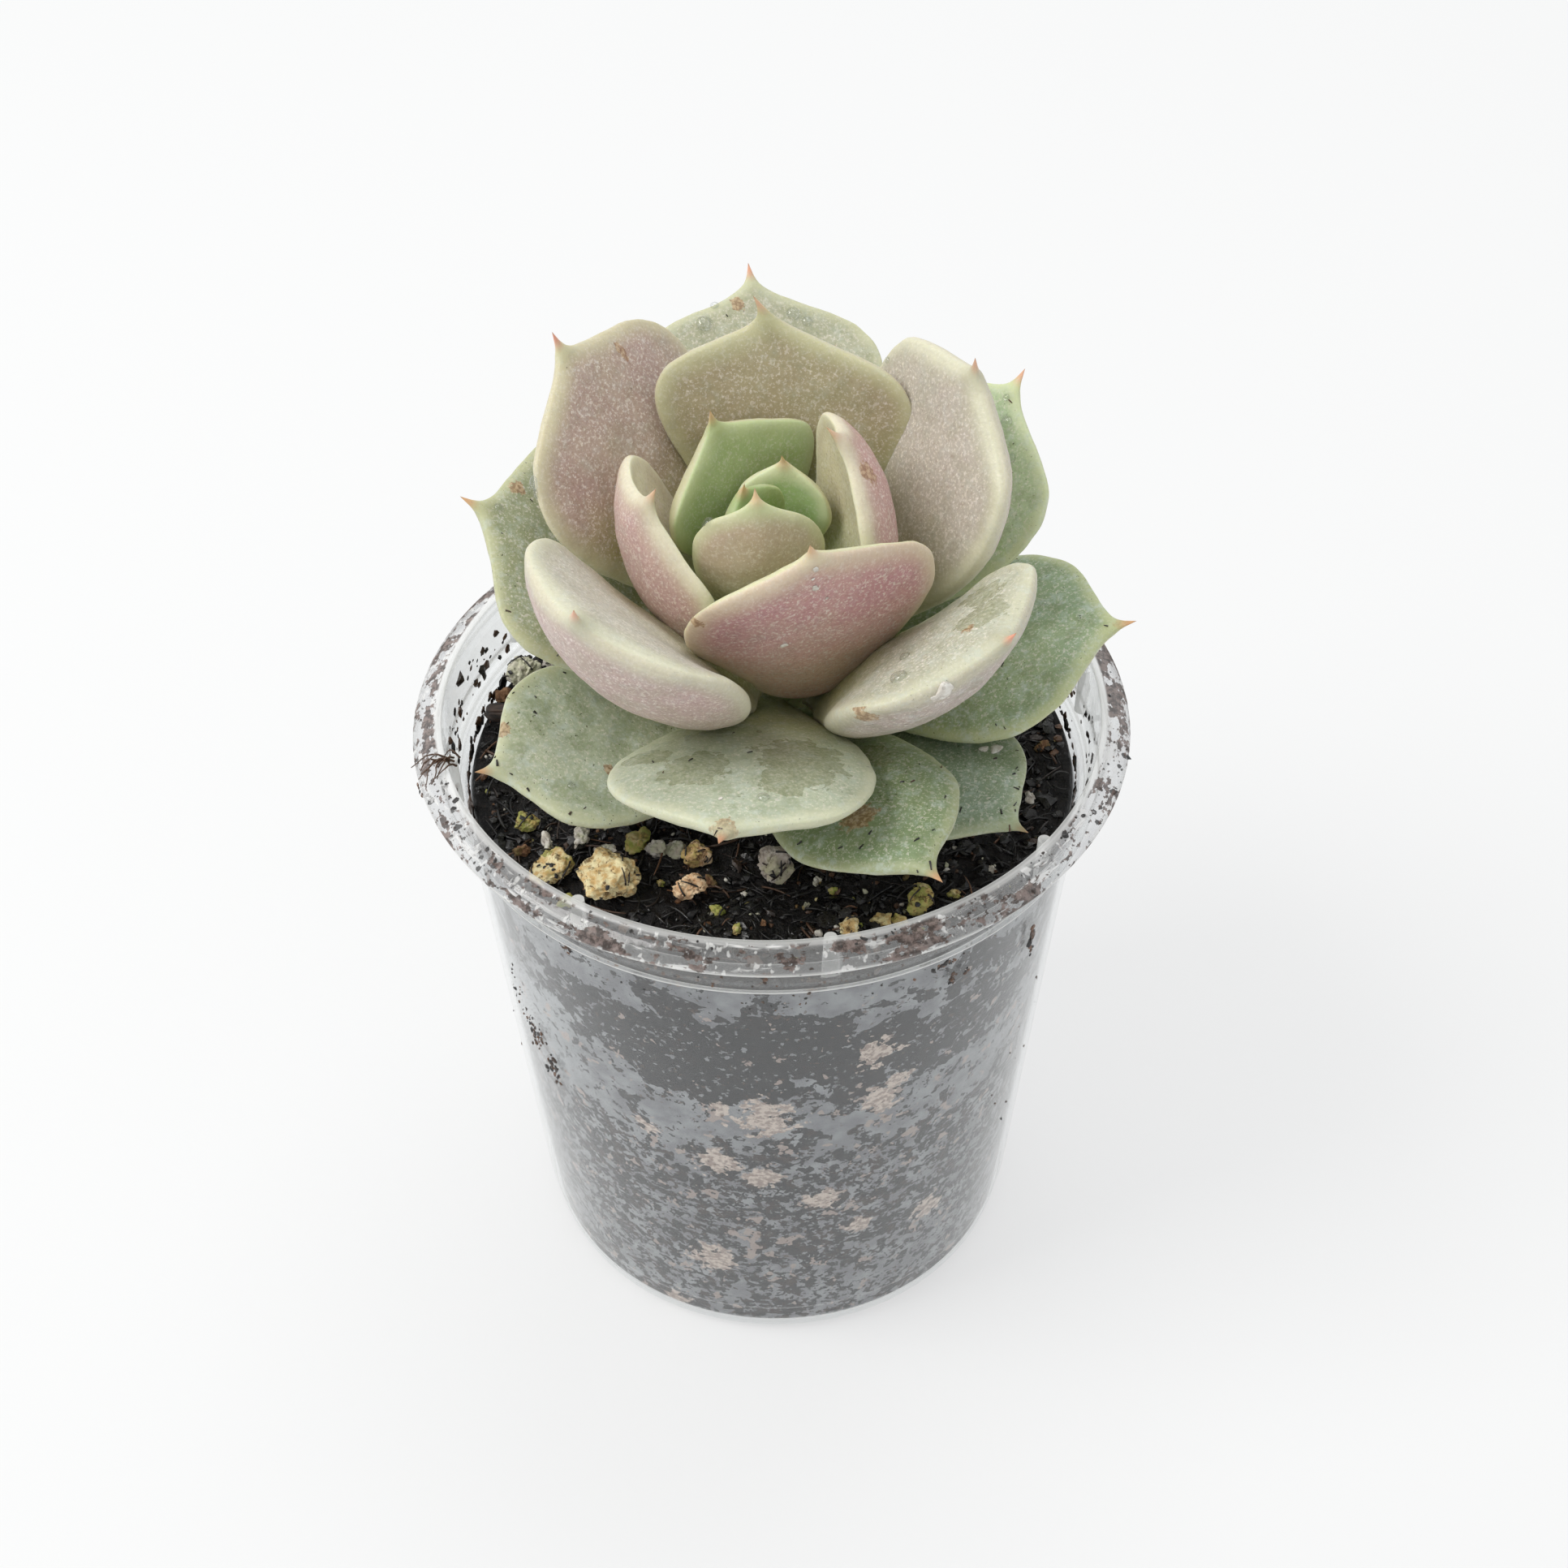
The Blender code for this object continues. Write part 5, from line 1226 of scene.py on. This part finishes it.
def make_stem():
    """The stem with the scars of old leaves, between soil and rosette."""
    rings, sides = 70, 64
    points, faces = [], []
    heights = np.linspace(STEM_PROFILE[0][0], STEM_PROFILE[-1][0], rings)
    world, origin = ROSETTE.to_3x3(), Vector(ROSETTE_AT)
    for h in heights:
        for k in range(sides):
            q = 2 * math.pi * k / sides
            scar = 0.10 * math.sin(5 * q + 2.2 * h) + 0.14 * noise.noise(Vector((math.cos(q) * 2, math.sin(q) * 2, h * 0.8)))
            r = stem_radius(h) * (1 - 0.05) + min(scar, 0.1)
            points.append((origin + world @ Vector((r * math.cos(q), r * math.sin(q), h)))[:])
    n = len(points)
    points += [(origin + world @ Vector((0, 0, h)))[:] for h in (heights[0], heights[-1])]
    for j in range(rings - 1):
        for k in range(sides):
            a, b = j * sides + k, j * sides + (k + 1) % sides
            faces.append((a, b, b + sides, a + sides))
    for k in range(sides):
        b = (k + 1) % sides
        faces.append((n, b, k))
        faces.append((n + 1, n - sides + k, n - sides + b))
    obj = mesh_object("stem_skin_piece", points, faces)
    t = Tree("stem_look")
    patch = t.noise(600, 4, 0.6)
    colour = t.mix(t.span(patch, 0.35, 0.65), (150, 160, 96), (176, 178, 128))
    colour = t.mix(t.span(t.noise(2000, 3, 0.6), 0.58, 0.68, 0.0, 0.6), colour, (120, 100, 66))
    piece(obj, t.done(t.principled(Base_Color=colour, Roughness=0.6, Subsurface_Weight=0.2, Subsurface_Scale=0.001, Normal=t.bump(patch, 0.4, 0.0002))), ["stem"])


# Crumbs on the leaves are scattered over the upper faces: leaf, how many, size
LEAF_CRUMBS = [
    ("leaf_outer_1", 16, 0.55), ("leaf_outer_2", 7, 0.4), ("leaf_outer_3", 16, 0.45), ("leaf_outer_4", 18, 0.5), ("leaf_outer_5", 12, 0.35),
    ("leaf_outer_6", 8, 0.35), ("leaf_outer_7", 6, 0.3), ("leaf_outer_8", 10, 0.4), ("leaf_middle_1", 3, 0.25), ("leaf_low_1", 10, 0.5), ("leaf_low_2", 10, 0.5), ("leaf_low_3", 6, 0.4),
]
# Droplets of water: leaf, mm along, degrees round the skin, radius
DROPS = [
    ("leaf_outer_6", 20.2, 109, 0.5), ("leaf_outer_6", 18.4, 118, 0.42), ("leaf_outer_6", 21.6, 96, 0.3), ("leaf_core_1", 12.4, 180, 0.5),
    ("leaf_middle_1", 19.9, 354, 0.6), ("leaf_middle_1", 19.0, 352, 0.4), ("leaf_outer_7", 22.6, 52, 0.7), ("leaf_outer_7", 24.6, 20, 0.4),
    ("leaf_outer_7", 23.5, 119, 0.6), ("leaf_outer_7", 22.6, 121, 0.45), ("leaf_outer_1", 8.3, 87, 0.3), ("leaf_outer_2", 10.4, 119, 0.32),
    ("leaf_outer_2", 8.9, 109, 0.36), ("leaf_outer_2", 9.6, 112, 0.24), ("leaf_outer_2", 9.2, 84, 0.22), ("leaf_outer_2", 20.4, 74, 0.5),
    ("leaf_middle_5", 19.5, 132, 0.7), ("leaf_middle_5", 16.8, 108, 0.45), ("leaf_outer_8", 23.5, 100, 0.4), ("leaf_outer_8", 19.0, 76, 0.3),
    ("leaf_outer_5", 18.0, 70, 0.3), ("leaf_outer_1", 19.0, 60, 0.35), ("leaf_inner_2", 15.0, 230, 0.2), ("leaf_middle_3", 19.0, 20, 0.3),
]
# Dried white specks: leaf, mm along, degrees round the skin, size
CHALK = [
    ("leaf_middle_5", 22.4, 213, 1.5), ("leaf_middle_5", 21.9, 217, 0.9), ("leaf_outer_4", 17.2, 45, 1.1), ("leaf_outer_4", 16.6, 52, 0.7),
    ("leaf_inner_1", 18.5, 267, 0.6), ("leaf_inner_1", 20.9, 268, 0.55), ("leaf_inner_1", 11.3, 254, 0.5), ("leaf_inner_1", 19.6, 262, 0.3),
    ("leaf_inner_1", 16.8, 272, 0.25), ("leaf_middle_5", 17.0, 236, 0.3), ("leaf_outer_2", 21.0, 96, 0.3), ("leaf_middle_4", 16.0, 250, 0.25),
]


def make_leaf_dirt():
    rng = random.Random(5)
    heap = Heap()
    for name, count, size in LEAF_CRUMBS:
        leaf = LEAF_OBJECTS[name][1]
        for k in range(count):
            x = leaf.length * rng.uniform(0.35, 0.95)
            where, out = on_leaf(name, x, rng.uniform(15, 165))
            small = rng.uniform(0.35, 1.1) * size
            flat = out.cross(Vector((rng.uniform(-1, 1), rng.uniform(-1, 1), rng.uniform(-1, 1)))).normalized()
            reach = flat * small * rng.uniform(0.3, 0.9)
            path = [where - reach + out * 0.02, where + out * 0.05, where + reach * 0.8 + out * 0.03]
            heap.strand(path, 0.12 * small, 0.2 * small, 0.2 + 0.45 * rng.random(), sides=5)
    heap.build("leaf_crumbs", peat_bits_material("leaf_crumb_look"), "peat_mix", smooth=False)
    chalk = Heap()
    for number, (name, x, turn, size) in enumerate(CHALK):
        where, out = on_leaf(name, x, turn)
        chalk.stone(where + out * 0.05, size, 1.7 * number + 3, 0.1, squash=0.3, normal=out, subdivisions=3, rough=0.6)
    chalk.build("chalk_specks", stone_material("chalk_look", (232, 230, 222), (214, 208, 198), (214, 214, 196), (150, 140, 128), 0.4), "perlite")


def make_drops():
    if not DROPS:
        return
    points, faces = [], []
    for name, x, turn, radius in DROPS:
        where, out = on_leaf(name, x, turn)
        frame_ = out.to_track_quat("Z", "Y").to_matrix()
        made = bmesh.new()
        bmesh.ops.create_icosphere(made, subdivisions=4, radius=1.0)
        start = len(points)
        for v in made.verts:
            p = v.co.copy()
            p.z = p.z * 0.62 if p.z > 0 else p.z * 0.12
            p *= 1 + 0.06 * noise.noise(v.co * 1.2 + where)
            points.append((where + out * 0.03 + frame_ @ (p * radius))[:])
        faces += [[v.index + start for v in f.verts] for f in made.faces]
        made.free()
    obj = mesh_object("water_drops", points, faces)
    t = Tree("water_look")
    facing = t.node("ShaderNodeLayerWeight")
    facing.inputs["Blend"].default_value = 0.5
    grazing = t.math("POWER", facing.outputs["Facing"], 3.5)
    reflect = t.math("MULTIPLY_ADD", grazing, 0.7, 0.06)
    clear = t.node("ShaderNodeBsdfTransparent")
    clear.inputs["Color"].default_value = (0.93, 0.94, 0.93, 1.0)
    gloss = t.node("ShaderNodeBsdfGlossy")
    gloss.inputs["Roughness"].default_value = 0.03
    piece(obj, t.done(t.blend(reflect, clear.outputs[0], gloss.outputs[0])))


# ---------------------------------------------------------------- stage
def turn_about(v, axis, angle):
    return Matrix.Rotation(angle, 3, axis) @ v


def make_camera():
    target, distance, elevation = Vector((0, 0, 35)), 234.889, math.radians(45.825)
    ahead = Vector((0, math.cos(elevation), -math.sin(elevation)))
    right = Vector((1, 0, 0))
    up = right.cross(ahead)
    at = target - ahead * distance
    ahead2, right2 = turn_about(ahead, up, math.radians(-0.253)), turn_about(right, up, math.radians(-0.253))
    ahead3, up3 = turn_about(ahead2, right2, math.radians(2.517)), turn_about(up, right2, math.radians(2.517))
    roll = math.radians(-0.782)
    right4 = right2 * math.cos(roll) + up3 * math.sin(roll)
    up4 = -right2 * math.sin(roll) + up3 * math.cos(roll)
    data = bpy.data.cameras.new("camera")
    data.sensor_width = 36.0
    data.lens = 60.0
    data.clip_start, data.clip_end = 0.01, 20.0
    camera = bpy.data.objects.new("camera", data)
    bpy.context.scene.collection.objects.link(camera)
    matrix = Matrix((right4, up4, -ahead3)).transposed().to_4x4()
    matrix.translation = at * MM
    camera.matrix_world = matrix
    bpy.context.scene.camera = camera


def make_light(name, at, aim, size, watts, colour=(1, 1, 1)):
    data = bpy.data.lights.new(name, "AREA")
    data.shape = "RECTANGLE"
    data.size, data.size_y = size
    data.energy = watts
    data.color = colour
    lamp = bpy.data.objects.new(name, data)
    bpy.context.scene.collection.objects.link(lamp)
    lamp.location = at
    lamp.rotation_mode = "QUATERNION"
    lamp.rotation_quaternion = (Vector(aim) - Vector(at)).to_track_quat("-Z", "Y")
    return lamp


def make_stage():
    made = bmesh.new()
    bmesh.ops.create_circle(made, cap_ends=True, segments=96, radius=3.0)
    mesh = bpy.data.meshes.new("floor")
    made.to_mesh(mesh)
    made.free()
    floor = bpy.data.objects.new("floor", mesh)
    floor.location.z = -0.00005
    bpy.context.scene.collection.objects.link(floor)
    t = Tree("floor_look")
    floor.data.materials.append(t.done(t.principled(Base_Color=(150, 151, 151), Roughness=0.8, Specular_IOR_Level=0.1, Emission_Color=(255, 255, 255), Emission_Strength=0.57)))

    world = bpy.data.worlds.new("studio")
    bpy.context.scene.world = world
    world.use_nodes = True
    back = world.node_tree.nodes["Background"]
    back.inputs["Color"].default_value = (0.985, 0.99, 1.0, 1.0)
    back.inputs["Strength"].default_value = WORLD
    make_light("key", (-0.42, -0.12, 0.62), (0, 0, 0.05), (0.34, 0.34), KEY, (1.0, 0.985, 0.96))
    make_light("top", (0.10, 0.30, 0.75), (0, 0, 0.05), (0.5, 0.3), TOP, (1.0, 1.0, 1.0))
    scene = bpy.context.scene
    scene.view_settings.view_transform = "Standard"
    scene.view_settings.look = "None"
    scene.cycles.transparent_max_bounces = 16


WORLD, KEY, TOP = 0.74, 2.8, 1.4


# ---------------------------------------------------------------- everything
make_camera()
make_stage()
make_pot()
make_soil()
make_stem()
make_leaves()
PUMICE = stone_material("pumice_look", (232, 220, 176), (206, 172, 116), (142, 146, 60), (84, 60, 34), 0.8)
PERLITE = stone_material("perlite_look", (228, 224, 216), (206, 198, 186), (196, 196, 168), (96, 84, 74), 0.5)
GREY_PUMICE = stone_material("grey_pumice_look", (206, 198, 190), (178, 166, 154), (186, 182, 150), (84, 72, 62), 0.6)
ROSY_PUMICE = stone_material("rosy_pumice_look", (232, 206, 170), (206, 164, 124), (180, 160, 92), (84, 54, 38), 0.8)
make_grains(PUMICE, PERLITE, GREY_PUMICE, ROSY_PUMICE)
make_bark()
make_litter()
make_leaf_dirt()
make_drops()
